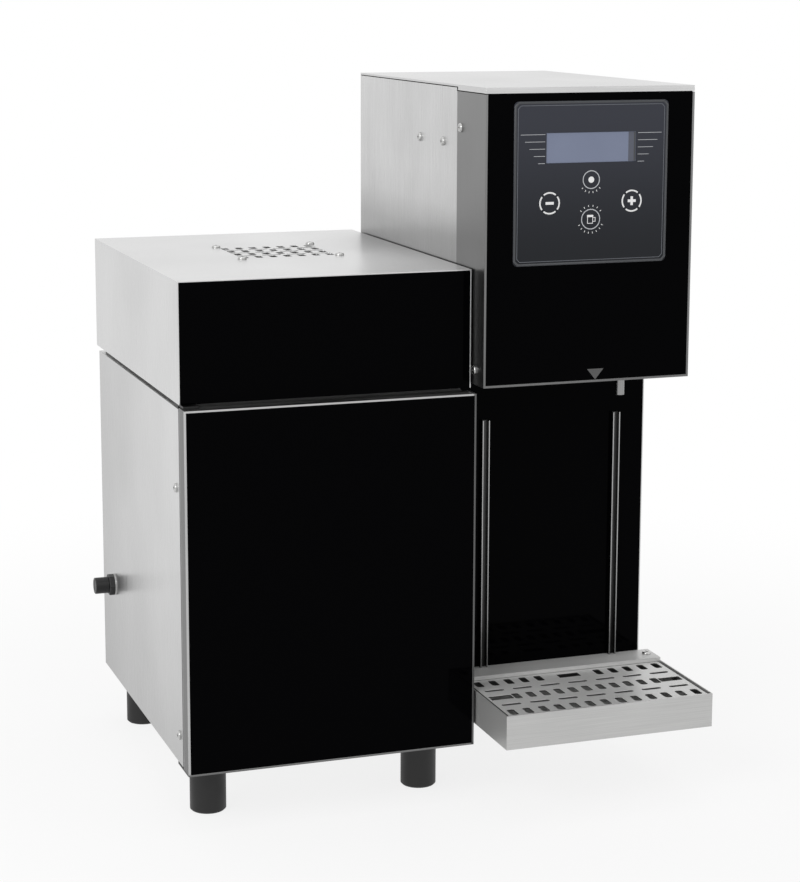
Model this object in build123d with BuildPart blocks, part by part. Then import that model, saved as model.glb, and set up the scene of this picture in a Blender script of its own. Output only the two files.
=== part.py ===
from build123d import *
import os

os.makedirs("parts", exist_ok=True)

# Sheet, panels and plays shared by both modules, in millimetres
sheet = 1.2
panel_thickness = 4.0        # black glass and gloss panels
edge_gap = 0.3               # between a black panel and the metal edge round it
lip_width = 9.0              # folded lip that a black panel is bonded to
body_gap = 0.3               # between pieces that move past each other
screw_play = 0.1
pin_play = 0.05

# Feet
foot_height = 60.0
foot_radius = 18.5
foot_chamfer = 1.5
chiller_foot_inset = (34.5, 37.5)
tower_foot_inset = (33.0, 32.0)
tower_foot_spacing = (150.0, 135.0)

# Chiller module: cabinet, door, neck and hood
hood_width = 300.0
hood_depth = 382.0
hood_height = 119.5
hood_flange = 20.0
neck_height = 6.0
neck_inset = 8.0
neck_width = 11.0
cabinet_height = 362.0
cabinet_side_inset = 2.0
cabinet_front_inset = 12.0
cabinet_back_inset = 3.0
wall_depth = 28.8            # insulation between the sheet and the liner
floor_depth = 30.8
ceiling_depth = 37.8
liner_sheet = 1.0
cavity_depth = 331.8
door_side_inset = 0.5
door_rise = 3.0              # door's top above the cabinet's
door_reach = 18.0            # door front ahead of the hood's front face
door_thickness = 21.0
door_sheet = 1.0
door_hem = 2 * door_sheet    # edge folded back on itself round the glass
gasket_inset = 6.5
gasket_width = 14.0
hinge_inset = (4.5, 7.0)     # pin axis from the door's left side and from its back
hinge_pin_radius = 2.5
hinge_pin_length = 12.0
hinge_plate = 2.5
hinge_plate_width = 15.0
hinge_plate_depth = 20.0     # behind the cabinet's front

# Cooling unit under the hood
fan_size = 120.0
fan_screw_square = 105.0
fan_thickness = 25.0
fan_bore_radius = 58.0
fan_hub_radius = 20.0
fan_corner = 6.0
fan_plate = 4.0              # hub plate and struts under the rotor
fan_top_gap = 2.0
fan_tip_gap = 2.5
fan_blade_count = 7
fan_blade_chord = 20.0
fan_blade_thickness = 1.6
fan_blade_angle = 38.0
fan_pin_radius = 3.0
fan_pin_cover = 4.0          # pin's end below the rotor's top
fan_bore_cover = 3.0         # bore's end below the rotor's top
fan_place = (158.0, 203.0)   # from the hood's left side and front face
sink_size = 118.0
sink_base = 6.0
sink_fin_height = 80.0
sink_fin_count = 15
sink_fin_thickness = 1.5
module_size = 40.0
module_height = 4.0
cold_block_size = 60.0
cold_plate_size = 150.0
cold_plate_thickness = 4.0
cold_plate_drop = 6.0        # underside of the cavity's ceiling to the plate's underside
vent_size = 108.0
vent_tall_slot = (7.4, 14.0)
vent_slot_corner = 2.0
vent_wide_slot = (21.0, 5.2)
vent_row_gap = 3.4

# Fuse holder on the left side
fuse_place = (323.0, 107.0)  # behind the hood's front face, above the cabinet's bottom
fuse_body_radius = 6.4
fuse_body_depth = 24.0
fuse_neck_radius = 5.0
fuse_washer_radius = 12.0
fuse_washer_thickness = 1.2
fuse_nut_across = 21.0
fuse_nut_thickness = 6.0
fuse_cap_radius = 9.0
fuse_cap_length = 15.0
fuse_neck_reach = 10.0       # of the holder's neck into the cap
fuse_cap_slot = (1.6, 1.2)   # width and depth of the screwdriver slot
fuse_slot_margin = 2.5

# Milk can in the cabinet
can_width = 180.0
can_depth = 205.0
can_height = 228.0
can_wall = 1.5
can_corner = 20.0
can_back_gap = 18.0
lid_thickness = 3.0
lid_plug = 8.0
dip_clearance = 12.0         # dip tube's end above the can's floor

# Tower module: column, head, lid and front cover
module_play = 0.2            # between the door's side and the tower's screw heads
head_width = 225.0
head_height = 296.1
head_reach = 28.5            # head front ahead of the hood's front face
tower_back_y = 356.5         # tower back behind the hood's front face
cover_depth = 78.0
lid_sheet = 2.2
lid_flange = 3.5
lid_reveal = 0.8             # shadow gap under the lid's edges
lid_relief = (1.6, 4.5)      # corner notch beside the cover: along the side, and down
head_hem = 2 * sheet         # cover's edge folded back on itself round the glass
column_width = 215.0
column_height = 371.6
column_setback = 53.0
column_panel = 3.0
rail_spacing = 147.5
rail_width = 8.0
rail_depth = 6.0
rail_wall = 1.2
rail_top_gap = 48.6          # rails' top below the head's underside

# Control panel on the head
overlay_size = (166.0, 162.0)
overlay_corner = 5.0
overlay_thickness = 1.0
overlay_bottom = 120.4       # above the head's underside
display_size = (97.0, 30.0)
display_bottom = 221.4
display_body = (104.0, 38.0)
display_proud = 0.3
key_travel = 0.5
key_proud = 0.2
key_cap = 0.6
key_gap = 0.15
key_stem_radius = 5.0
stem_play = 0.1
keys = {
    "key_status": (0.0, 204.4, 9.3),
    "key_minus": (-44.5, 182.2, 11.2),
    "key_plus": (44.5, 182.2, 11.2),
    "key_dispense": (0.0, 165.1, 10.3),
}
board_size = (150.0, 146.0)
board_thickness = 1.6
board_standoff = 4.5
switch_size = 12.0
standoff_radius = 3.0

# Water and milk path in the tower
spout_y = 0.0                # from the hood's front face
brew_spout_x = 79.0          # from the tower's left side
water_spout_x = 162.0
brew_spout_radius = 7.0
brew_spout_drop = 4.0
water_spout_radius = 4.5
water_spout_drop = 20.0
spout_wall = 1.2
spout_rise = 13.4            # top of both spouts above the head's underside
chamber_radius = 15.0
chamber_height = 24.0
valve_size = (26.0, 26.0, 24.0)
coil_radius = 12.0
coil_length = 32.0
hose_radius = 4.0
hose_bore_radius = 2.5
hose_bend = 18.0
head_hose_bend = 12.0
hose_hole_play = 1.0
hose_y = 215.0
hose_level = 53.4            # height of the hoses above the head's underside
milk_hose_drop = 71.6        # milk hose's way through the sides below the head's underside
pump_radius = 32.0
pump_bore_radius = 26.0
pump_depth = 24.0
pump_wall = 2.0
pump_front_gap = 1.0         # rotor behind the ring's front face
pump_arm = 3.0               # thickness of the plate that carries the rollers
pump_hub_radius = 7.5
pump_level = 128.4
pump_port_offset = 20.0
pump_port_drop = 42.0
pump_shaft_radius = 3.0
pump_roller_radius = 5.5
pump_roller_circle = 17.0
pump_roller_count = 3
motor_radius = 18.0
motor_length = 44.0
bracket_width = 50.0
bracket_thickness = 4.0
boiler_radius = 55.0
boiler_wall = 1.5
boiler_floor = 30.0          # underside of the tank above the tower's base
boiler_height = 270.0
boiler_x = 128.0             # from the tower's left side
boiler_outlet_height = 16.0
boiler_shoulder = 12.0
boiler_roof = 14.0
element_drop = 10.0          # heating element's ends below the tank's floor
element_radius = 4.0
element_spread = 22.0
element_rise = 150.0
inlet_thread_radius = 13.2
inlet_thread_length = 14.0
inlet_flange_radius = 17.0
inlet_flange = 4.0
inlet_pipe_radius = 6.0
inlet_bore_radius = 4.0
inlet_level = 60.0
socket_flange = (54.0, 34.0)
socket_body = (48.0, 28.0)
socket_recess = (26.0, 19.0)
socket_depth = 30.0
socket_flange_thickness = 2.0
socket_recess_depth = 18.0
socket_pin = (2.0, 4.0)
socket_pin_length = 15.0
socket_pin_places = ((-7.0, -2.0), (0.0, 3.0), (7.0, -2.0))
socket_x = 48.0              # from the tower's left side

# Drip tray and its bracket
tray_width = 226.0
tray_reach = 100.0           # tray front ahead of the hood's front face
tray_depth = 121.0
tray_height = 35.0
tray_bottom = 20.5           # above the cabinet's bottom
ledge_top = 58.5
grid_gap = (2.8, 0.8)        # at the sides, and at the front and back
grid_sheet = 1.5
grid_skirt = 6.5
grid_drop = 1.0              # grid's top below the tray's rim
tab_size = 12.0
tab_thickness = 2.0
tall_slot = (8.0, 17.0)
tall_slot_corner = 2.6
wide_slot = (21.5, 5.4)
middle_slot = (24.0, 12.0)
tall_pitch = 16.85
middle_pitch = 15.5
wide_pitch = 31.0
grid_row_pitch = 23.2

# Pan-head screws
screw_head_radius = 4.7
screw_head_height = 2.6
screw_head_round = 1.6
screw_radius = 2.0
screw_length = 8.0
recess_length = 5.0
recess_width = 1.0
recess_depth = 1.3
cabinet_screws = ((11.0, 282.0), (11.0, 30.0))
cover_screws = ((66.1, 253.8), (23.3, 14.9))
head_screws = ((39.2, 237.0), (108.3, 237.0))
ledge_screw_inset = 9.0

# Places worked out from the sizes above, with the origin on the floor under the middle
fuse_length = fuse_washer_thickness + fuse_nut_thickness + fuse_cap_length
module_gap = screw_head_height + module_play - door_side_inset
overall_width = fuse_length - cabinet_side_inset + hood_width + module_gap + tray_width
left_x = -overall_width / 2 + fuse_length - cabinet_side_inset
front_y = tray_reach - (tray_reach + hood_depth) / 2
base_z = foot_height

hood_x = (left_x, left_x + hood_width)
hood_y = (front_y, front_y + hood_depth)
cabinet_x = (hood_x[0] + cabinet_side_inset, hood_x[1] - cabinet_side_inset)
cabinet_y = (hood_y[0] + cabinet_front_inset, hood_y[1] - cabinet_back_inset)
cabinet_z = (base_z, base_z + cabinet_height)
neck_z = (cabinet_z[1], cabinet_z[1] + neck_height)
hood_z = (neck_z[1], neck_z[1] + hood_height)
within_x = (cabinet_x[0] + sheet, cabinet_x[1] - sheet)
within_y = (cabinet_y[0] + sheet, cabinet_y[1] - sheet)
within_z = (cabinet_z[0] + sheet, cabinet_z[1] - sheet)
cavity_x = (within_x[0] + wall_depth, within_x[1] - wall_depth)
cavity_y = (within_y[0], within_y[0] + cavity_depth)
cavity_z = (within_z[0] + floor_depth,within_z[1] - ceiling_depth - liner_sheet)

door_x = (hood_x[0] + door_side_inset, hood_x[1] - door_side_inset)
door_y = (hood_y[0] - door_reach, hood_y[0] - door_reach + door_thickness)
door_z = (cabinet_z[0], cabinet_z[1] + door_rise)
hinge_x = door_x[0] + hinge_inset[0]
hinge_y = door_y[1] - hinge_inset[1]
fan_x = hood_x[0] + fan_place[0]
fan_y = hood_y[0] + fan_place[1]
fuse_y = hood_y[0] + fuse_place[0]
fuse_z = cabinet_z[0] + fuse_place[1]
fuse_hole_radius = fuse_body_radius + screw_play

tower_x = (hood_x[1] + module_gap, hood_x[1] + module_gap + head_width)
column_x = (tower_x[0], tower_x[0] + column_width)
head_y = (hood_y[0] - head_reach, hood_y[0] + tower_back_y)
column_y = (hood_y[0] + column_setback, head_y[1])
column_z = (base_z, base_z + column_height)
head_z = (column_z[1], column_z[1] + head_height)
cover_y = (head_y[0], head_y[0] + cover_depth)
rear_y = (cover_y[1], head_y[1] - sheet)
lid_under = head_z[1] - lid_sheet
cover_top = lid_under - lid_flange
head_side_z = (head_z[0], lid_under - lid_reveal)
cover_z = (head_z[0], cover_top - lid_reveal)
head_middle = (tower_x[0] + tower_x[1]) / 2
column_middle = (column_x[0] + column_x[1]) / 2
head_in_x = (tower_x[0] + sheet, tower_x[1] - sheet)
column_in_x = (column_x[0] + sheet, column_x[1] - sheet)
head_floor_top = head_z[0] + sheet
spout_back = hood_y[0] + spout_y
brew_x = tower_x[0] + brew_spout_x
water_x = tower_x[0] + water_spout_x
spout_top = head_z[0] + spout_rise
hose_back = hood_y[0] + hose_y
hose_z = head_z[0] + hose_level
pump_x = brew_x - pump_port_offset
pump_z = head_z[0] + pump_level
pump_y = (hose_back - pump_depth / 2, hose_back + pump_depth / 2)
milk_port_x = pump_x - pump_port_offset
port_z = pump_z - pump_port_drop
milk_hose_z = head_z[0] - milk_hose_drop
boiler_centre = (tower_x[0] + boiler_x, hose_back)
boiler_z = (base_z + boiler_floor, base_z + boiler_floor + boiler_height)
inlet_z = base_z + inlet_level

tray_x = (hood_x[1] + module_gap, hood_x[1] + module_gap + tray_width)
tray_y = (hood_y[0] - tray_reach, hood_y[0] - tray_reach + tray_depth)
tray_z = (base_z + tray_bottom, base_z + tray_bottom + tray_height)
tray_middle = ((tray_x[0] + tray_x[1]) / 2, (tray_y[0] + tray_y[1]) / 2)
ledge_z = base_z + ledge_top
grid_top = tray_z[1] - grid_drop
rail_z = (ledge_z, column_z[1] - rail_top_gap)

overlay_z = (head_z[0] + overlay_bottom, head_z[0] + overlay_bottom + overlay_size[1])
glass_y = (head_y[0], head_y[0] + panel_thickness)
board_y = glass_y[1] + board_standoff
overlay_y = glass_y[0] - overlay_thickness
key_y = overlay_y - key_proud
display_z = head_z[0] + display_bottom


def middle(limits):
    return (limits[0] + limits[1]) / 2


def length(limits):
    return limits[1] - limits[0]


def inside(limits, amount):
    return (limits[0] + amount, limits[1] - amount)


def side_plane(x):
    """Plane across the machine at x: sketches on it read as (y, z) and extrude to the right."""
    return Plane.YZ.offset(x)


def front_plane(y):
    """Plane along the front at y: sketches on it read as (x, z) and extrude forwards."""
    return Plane.XZ.offset(-y)


def rectangle(u, v, mode=Mode.ADD):
    """Rectangle between two limits in each direction of the sketch."""
    with Locations((middle(u), middle(v))):
        Rectangle(length(u), length(v), mode=mode)


def block(x, y, z, mode=Mode.ADD):
    """Box between two limits in each direction."""
    with Locations((middle(x), middle(y), middle(z))):
        Box(length(x), length(y), length(z), mode=mode)


def keep(piece, name):
    piece.part.label = name
    export_step(piece.part, f"parts/{name}.step")


# Pan-head screw, standing on its head's underside with the shank down
with BuildPart() as pan_screw:
    Cylinder(screw_head_radius, screw_head_height, align=(Align.CENTER, Align.CENTER, Align.MIN))
    fillet(pan_screw.edges().sort_by(Axis.Z)[-1], screw_head_round)
    Cylinder(screw_radius, screw_length, align=(Align.CENTER, Align.CENTER, Align.MAX))
    with BuildSketch(Plane.XY.offset(screw_head_height)):
        Rectangle(recess_length, recess_width)
        Rectangle(recess_width, recess_length)
    extrude(amount=-recess_depth, mode=Mode.SUBTRACT)

screw_hole_radius = screw_radius + screw_play
cabinet_screw_spots = [(cabinet_y[0] + y, cabinet_z[0] + z) for y, z in cabinet_screws]
cover_screw_spots = [(cover_y[0] + y, head_z[0] + z) for y, z in cover_screws]
head_screw_spots = [(rear_y[0] + y, head_z[0] + z) for y, z in head_screws]
ledge_screw_spots = [(inside(tray_x, ledge_screw_inset)[side], (tray_y[1] + column_y[0]) / 2)
                     for side in (0, 1)]

with BuildPart() as pan_screws:
    for x, turn, spots in (
        (cabinet_x[0], -90, cabinet_screw_spots),
        (cabinet_x[1], 90, cabinet_screw_spots),
        (tower_x[0], -90, cover_screw_spots + head_screw_spots),
        (tower_x[1], 90, cover_screw_spots + head_screw_spots),
    ):
        with Locations([Location((x, y, z), (0, turn, 0)) for y, z in spots]):
            add(pan_screw.part)
    with Locations([(x, y, ledge_z) for x, y in ledge_screw_spots]):
        add(pan_screw.part)
    with Locations((fan_x, fan_y, hood_z[1])):
        with GridLocations(fan_screw_square, fan_screw_square, 2, 2):
            add(pan_screw.part)
keep(pan_screws, "pan_screws")


# Cabinet: sheet panels round the insulation
def side_panel(x, y, z, spots, plane_holes=()):
    """Flat side sheet at x, with screw holes and any larger holes."""
    with BuildPart() as panel:
        with BuildSketch(side_plane(x)):
            rectangle(y, z)
            with Locations(spots):
                Circle(screw_hole_radius, mode=Mode.SUBTRACT)
            for spot, radius in plane_holes:
                with Locations(spot):
                    Circle(radius, mode=Mode.SUBTRACT)
        extrude(amount=sheet)
    return panel


side_y = (cabinet_y[0], within_y[1])
hose_spot = (hose_back, milk_hose_z)
hose_hole_radius = hose_radius + hose_hole_play

side_panel_left = side_panel(cabinet_x[0], side_y, cabinet_z, cabinet_screw_spots,
                             [((fuse_y, fuse_z), fuse_hole_radius)])
keep(side_panel_left, "side_panel_left")

side_panel_right = side_panel(within_x[1], side_y, cabinet_z, cabinet_screw_spots,
                              [(hose_spot, hose_hole_radius)])
keep(side_panel_right, "side_panel_right")

with BuildPart() as cabinet_bottom:
    block(within_x, within_y, (cabinet_z[0], within_z[0]))
keep(cabinet_bottom, "cabinet_bottom")

with BuildPart() as cabinet_back:
    block(cabinet_x, (within_y[1], cabinet_y[1]), cabinet_z)
keep(cabinet_back, "cabinet_back")

block_hole = cold_block_size + 2 * body_gap
with BuildPart() as cabinet_deck:
    with BuildSketch(Plane.XY.offset(within_z[1])):
        rectangle(within_x, within_y)
        with Locations((fan_x, fan_y)):
            Rectangle(block_hole, block_hole, mode=Mode.SUBTRACT)
    extrude(amount=sheet)
keep(cabinet_deck, "cabinet_deck")

with BuildPart() as front_frame:
    with BuildSketch(front_plane(within_y[0])):
        rectangle(within_x, cabinet_z)
        rectangle(cavity_x, cavity_z, mode=Mode.SUBTRACT)
    extrude(amount=sheet)
keep(front_frame, "front_frame")

liner_x = inside(cavity_x, -liner_sheet)
liner_y = (cavity_y[0], cavity_y[1] + liner_sheet)
liner_z = inside(cavity_z, -liner_sheet)
with BuildPart() as cabinet_liner:
    block(liner_x, liner_y, liner_z)
    block(cavity_x, cavity_y, cavity_z, mode=Mode.SUBTRACT)
    with BuildSketch(Plane.XY.offset(cavity_z[1])):
        with Locations((fan_x, fan_y)):
            Rectangle(block_hole, block_hole)
    extrude(amount=liner_sheet, mode=Mode.SUBTRACT)
    with BuildSketch(side_plane(cavity_x[1])):
        with Locations(hose_spot):
            Circle(hose_hole_radius)
    extrude(amount=liner_sheet, mode=Mode.SUBTRACT)
keep(cabinet_liner, "cabinet_liner")

# Foam between the liner and the sheet, with pockets for what passes through it
with BuildPart() as foam_insulation:
    block(within_x, within_y, within_z)
    block(liner_x, liner_y, liner_z, mode=Mode.SUBTRACT)
    with BuildSketch(Plane.XY.offset(liner_z[1])):
        with Locations((fan_x, fan_y)):
            Rectangle(block_hole, block_hole)
    extrude(until=Until.LAST, mode=Mode.SUBTRACT)
    with BuildSketch(side_plane(liner_x[1])):
        with Locations(hose_spot):
            Circle(hose_hole_radius)
    extrude(amount=within_x[1] - liner_x[1], mode=Mode.SUBTRACT)
    with BuildSketch(side_plane(within_x[0])):
        with Locations(cabinet_screw_spots):
            Circle(screw_hole_radius)
    extrude(amount=screw_length, mode=Mode.SUBTRACT)
    with BuildSketch(side_plane(within_x[1])):
        with Locations(cabinet_screw_spots):
            Circle(screw_hole_radius)
    extrude(amount=-screw_length, mode=Mode.SUBTRACT)
    with BuildSketch(side_plane(within_x[0])):
        with Locations((fuse_y, fuse_z)):
            Circle(fuse_hole_radius)
    extrude(amount=fuse_body_depth, mode=Mode.SUBTRACT)
keep(foam_insulation, "foam_insulation")

# Door: sheet pan, foam core with the hinge bores, black glass and a magnetic gasket
pan_x = inside(door_x, door_sheet)
pan_z = inside(door_z, door_sheet)
pan_floor = door_y[1] - door_sheet
hinge_spots = ((hinge_x, hinge_y),)
hinge_bore_radius = hinge_pin_radius + pin_play
hinge_bore_length = hinge_pin_length + body_gap
core_y = (door_y[0] + panel_thickness, pan_floor)
with BuildPart() as door_pan:
    block(door_x, door_y, door_z)
    block(pan_x, core_y, pan_z, mode=Mode.SUBTRACT)
    block(inside(door_x, door_hem), (door_y[0], core_y[0]), inside(door_z, door_hem),
          mode=Mode.SUBTRACT)
    with BuildSketch(Plane.XY.offset(door_z[0])):
        with Locations(*hinge_spots):
            Circle(hinge_bore_radius + body_gap)
    extrude(amount=length(door_z), mode=Mode.SUBTRACT)
keep(door_pan, "door_pan")

with BuildPart() as door_core:
    block(pan_x, core_y, pan_z)
    with BuildSketch(Plane.XY.offset(pan_z[0])):
        with Locations(*hinge_spots):
            Circle(hinge_bore_radius)
    extrude(amount=hinge_bore_length, mode=Mode.SUBTRACT)
    with BuildSketch(Plane.XY.offset(pan_z[1])):
        with Locations(*hinge_spots):
            Circle(hinge_bore_radius)
    extrude(amount=-hinge_bore_length, mode=Mode.SUBTRACT)
keep(door_core, "door_core")

with BuildPart() as door_glass:
    block(inside(door_x, door_hem + edge_gap), (door_y[0], core_y[0]),
          inside(door_z, door_hem + edge_gap))
keep(door_glass, "door_glass")

with BuildPart() as door_gasket:
    with BuildSketch(front_plane(cabinet_y[0] - body_gap)):
        rectangle(inside(door_x, gasket_inset), inside(door_z, gasket_inset))
        rectangle(inside(door_x, gasket_inset + gasket_width),
                  inside(door_z, gasket_inset + gasket_width), mode=Mode.SUBTRACT)
    extrude(amount=cabinet_y[0] - body_gap - door_y[1])
keep(door_gasket, "door_gasket")

# Hinge brackets: a plate over and one under the door's left corner, each with its pin
plate_x = (cabinet_x[0], cabinet_x[0] + hinge_plate_width)
plate_y = (hinge_y - 2 * hinge_pin_radius, cabinet_y[0] + hinge_plate_depth)
with BuildPart() as hinge_brackets:
    for face, seat, direction in ((door_z[1], cabinet_z[1], 1), (door_z[0], cabinet_z[0], -1)):
        near = face + direction * body_gap
        far = near + direction * hinge_plate
        pin_end = face - direction * (door_sheet + hinge_pin_length)
        front_part = (plate_y[0], cabinet_y[0])
        block(plate_x, front_part, (min(near, far), max(near, far)))
        block(plate_x, (cabinet_y[0], plate_y[1]), (min(seat, far), max(seat, far)))
        with BuildSketch(Plane.XY.offset(pin_end)):
            with Locations(*hinge_spots):
                Circle(hinge_pin_radius)
        extrude(amount=near - pin_end)
keep(hinge_brackets, "hinge_brackets")

# Neck between the cabinet and the hood
neck_x = inside(hood_x, neck_inset)
neck_y = inside(hood_y, neck_inset)
bracket_notch_y = (neck_y[0], plate_y[1] + body_gap)
with BuildPart() as hood_neck:
    with BuildSketch(Plane.XY.offset(neck_z[0])):
        rectangle(neck_x, neck_y)
        rectangle(inside(neck_x, neck_width), inside(neck_y, neck_width), mode=Mode.SUBTRACT)
    extrude(amount=neck_height)
    block((neck_x[0], plate_x[1] + body_gap), bracket_notch_y, neck_z, mode=Mode.SUBTRACT)
keep(hood_neck, "hood_neck")

# Hood: folded sheet with the vent in its top, and the flush black front panel
vent_top = hood_z[1] - sheet
tall_rows = 4
vent_pitch = vent_tall_slot[1] + vent_wide_slot[1] + 2 * vent_row_gap
with BuildPart() as hood_shell:
    block(hood_x, hood_y, hood_z)
    block(inside(hood_x, sheet), (hood_y[0], hood_y[1] - sheet),
          (hood_z[0] + sheet, vent_top), mode=Mode.SUBTRACT)
    block(inside(hood_x, hood_flange), inside(hood_y, hood_flange),
          (hood_z[0], hood_z[0] + sheet), mode=Mode.SUBTRACT)
    block(inside(hood_x, sheet), (hood_y[0], hood_y[0] + panel_thickness),
          (hood_z[0], hood_z[0] + sheet), mode=Mode.SUBTRACT)
    with BuildSketch(front_plane(hood_y[0] + panel_thickness + sheet)):
        rectangle(inside(hood_x, sheet), inside(hood_z, sheet))
        rectangle(inside(hood_x, lip_width), inside(hood_z, lip_width), mode=Mode.SUBTRACT)
    extrude(amount=sheet)
    with BuildSketch(Plane.XY.offset(vent_top)):
        with Locations((fan_x, fan_y)):
            with GridLocations(vent_size / 7, vent_pitch, 7, tall_rows):
                RectangleRounded(*vent_tall_slot, vent_slot_corner)
            with GridLocations(vent_size / 4, vent_pitch, 4, tall_rows - 1):
                SlotOverall(*vent_wide_slot)
            with GridLocations(fan_screw_square, fan_screw_square, 2, 2):
                Circle(screw_hole_radius)
    extrude(amount=sheet, mode=Mode.SUBTRACT)
keep(hood_shell, "hood_shell")

with BuildPart() as hood_front_panel:
    block(inside(hood_x, sheet + edge_gap), (hood_y[0], hood_y[0] + panel_thickness),
          (hood_z[0], vent_top - edge_gap))
keep(hood_front_panel, "hood_front_panel")

# Fan, heat sink and thermoelectric module
fan_z = (vent_top - fan_thickness, vent_top)
rotor_floor = fan_z[0] + fan_plate + body_gap
rotor_height = fan_thickness - fan_plate - fan_top_gap
with BuildPart() as fan_frame:
    with BuildSketch(Plane.XY.offset(fan_z[0])):
        with Locations((fan_x, fan_y)):
            RectangleRounded(fan_size, fan_size, fan_corner)
            Circle(fan_bore_radius, mode=Mode.SUBTRACT)
            with GridLocations(fan_screw_square, fan_screw_square, 2, 2):
                Circle(screw_hole_radius, mode=Mode.SUBTRACT)
    extrude(amount=fan_thickness)
    with BuildSketch(Plane.XY.offset(fan_z[0])):
        with Locations((fan_x, fan_y)):
            Circle(fan_hub_radius)
            Rectangle(2 * fan_bore_radius + 1, fan_plate)
            Rectangle(fan_plate, 2 * fan_bore_radius + 1)
    extrude(amount=fan_plate)
    with BuildSketch(Plane.XY.offset(fan_z[0])):
        with Locations((fan_x, fan_y)):
            Circle(fan_pin_radius)
    extrude(amount=fan_plate + rotor_height - fan_pin_cover)
keep(fan_frame, "fan_frame")

blade_length = fan_bore_radius - fan_hub_radius - fan_tip_gap
with BuildPart() as fan_rotor:
    with BuildSketch(Plane.XY.offset(rotor_floor)):
        with Locations((fan_x, fan_y)):
            Circle(fan_hub_radius - 1)
    extrude(amount=rotor_height)
    fillet(fan_rotor.edges().filter_by(GeomType.CIRCLE).sort_by(Axis.Z)[-1], 2.0)
    with Locations((fan_x, fan_y, rotor_floor + rotor_height / 2)):
        with PolarLocations(fan_hub_radius - 2 + blade_length / 2, fan_blade_count):
            Box(blade_length, fan_blade_chord, fan_blade_thickness,
                rotation=(fan_blade_angle, 0, 0))
    with BuildSketch(Plane.XY.offset(rotor_floor)):
        with Locations((fan_x, fan_y)):
            Circle(fan_pin_radius + pin_play)
    extrude(amount=rotor_height - fan_bore_cover, mode=Mode.SUBTRACT)
keep(fan_rotor, "fan_rotor")

block_top = neck_z[0] + neck_height - module_height
with BuildPart() as heat_sink:
    with BuildSketch(Plane.XY.offset(hood_z[0])):
        with Locations((fan_x, fan_y)):
            Rectangle(sink_size, sink_size)
    extrude(amount=sink_base)
    with BuildSketch(Plane.XY.offset(hood_z[0] + sink_base)):
        with Locations((fan_x, fan_y)):
            with GridLocations((sink_size - sink_fin_thickness) / (sink_fin_count - 1), 0,
                               sink_fin_count, 1):
                Rectangle(sink_fin_thickness, sink_size)
    extrude(amount=sink_fin_height)
keep(heat_sink, "heat_sink")

with BuildPart() as thermoelectric_module:
    with BuildSketch(Plane.XY.offset(block_top)):
        with Locations((fan_x, fan_y)):
            Rectangle(module_size, module_size)
    extrude(amount=module_height)
keep(thermoelectric_module, "thermoelectric_module")

plate_bottom = cavity_z[1] - cold_plate_drop
with BuildPart() as cold_block:
    with BuildSketch(Plane.XY.offset(plate_bottom)):
        with Locations((fan_x, fan_y)):
            Rectangle(cold_plate_size, cold_plate_size)
    extrude(amount=cold_plate_thickness)
    fillet(cold_block.edges().filter_by(Axis.Z), 6)
    with BuildSketch(Plane.XY.offset(plate_bottom)):
        with Locations((fan_x, fan_y)):
            Rectangle(cold_block_size, cold_block_size)
    extrude(amount=block_top - plate_bottom)
keep(cold_block, "cold_block")

# Fuse holder: body through the side panel, washer, hex nut and screw cap
washer_x = cabinet_x[0] - fuse_washer_thickness
nut_x = washer_x - fuse_nut_thickness
neck_end = nut_x - fuse_neck_reach
with BuildPart() as fuse_body:
    with BuildSketch(side_plane(nut_x)):
        with Locations((fuse_y, fuse_z)):
            Circle(fuse_body_radius)
    extrude(amount=within_x[0] + fuse_body_depth - nut_x)
    with BuildSketch(side_plane(neck_end)):
        with Locations((fuse_y, fuse_z)):
            Circle(fuse_neck_radius)
    extrude(amount=nut_x - neck_end)
keep(fuse_body, "fuse_body")

with BuildPart() as fuse_washer:
    with BuildSketch(side_plane(washer_x)):
        with Locations((fuse_y, fuse_z)):
            Circle(fuse_washer_radius)
            Circle(fuse_hole_radius, mode=Mode.SUBTRACT)
    extrude(amount=fuse_washer_thickness)
keep(fuse_washer, "fuse_washer")

with BuildPart() as fuse_nut:
    with BuildSketch(side_plane(nut_x)):
        with Locations((fuse_y, fuse_z)):
            RegularPolygon(fuse_nut_across / 2, 6, major_radius=False)
            Circle(fuse_hole_radius, mode=Mode.SUBTRACT)
    extrude(amount=fuse_nut_thickness)
    chamfer(fuse_nut.edges().group_by(Axis.X)[0].filter_by(GeomType.LINE), 0.8)
keep(fuse_nut, "fuse_nut")

with BuildPart() as fuse_cap:
    with BuildSketch(side_plane(nut_x - fuse_cap_length)):
        with Locations((fuse_y, fuse_z)):
            Circle(fuse_cap_radius)
    extrude(amount=fuse_cap_length - body_gap)
    fillet(fuse_cap.edges().sort_by(Axis.X)[0], 0.8)
    with BuildSketch(side_plane(neck_end - body_gap)):
        with Locations((fuse_y, fuse_z)):
            Circle(fuse_neck_radius + pin_play)
    extrude(amount=nut_x - neck_end, mode=Mode.SUBTRACT)
    with BuildSketch(side_plane(nut_x - fuse_cap_length)):
        with Locations((fuse_y, fuse_z)):
            Rectangle(fuse_cap_slot[0], 2 * (fuse_cap_radius - fuse_slot_margin))
    extrude(amount=fuse_cap_slot[1], mode=Mode.SUBTRACT)
keep(fuse_cap, "fuse_cap")

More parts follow.
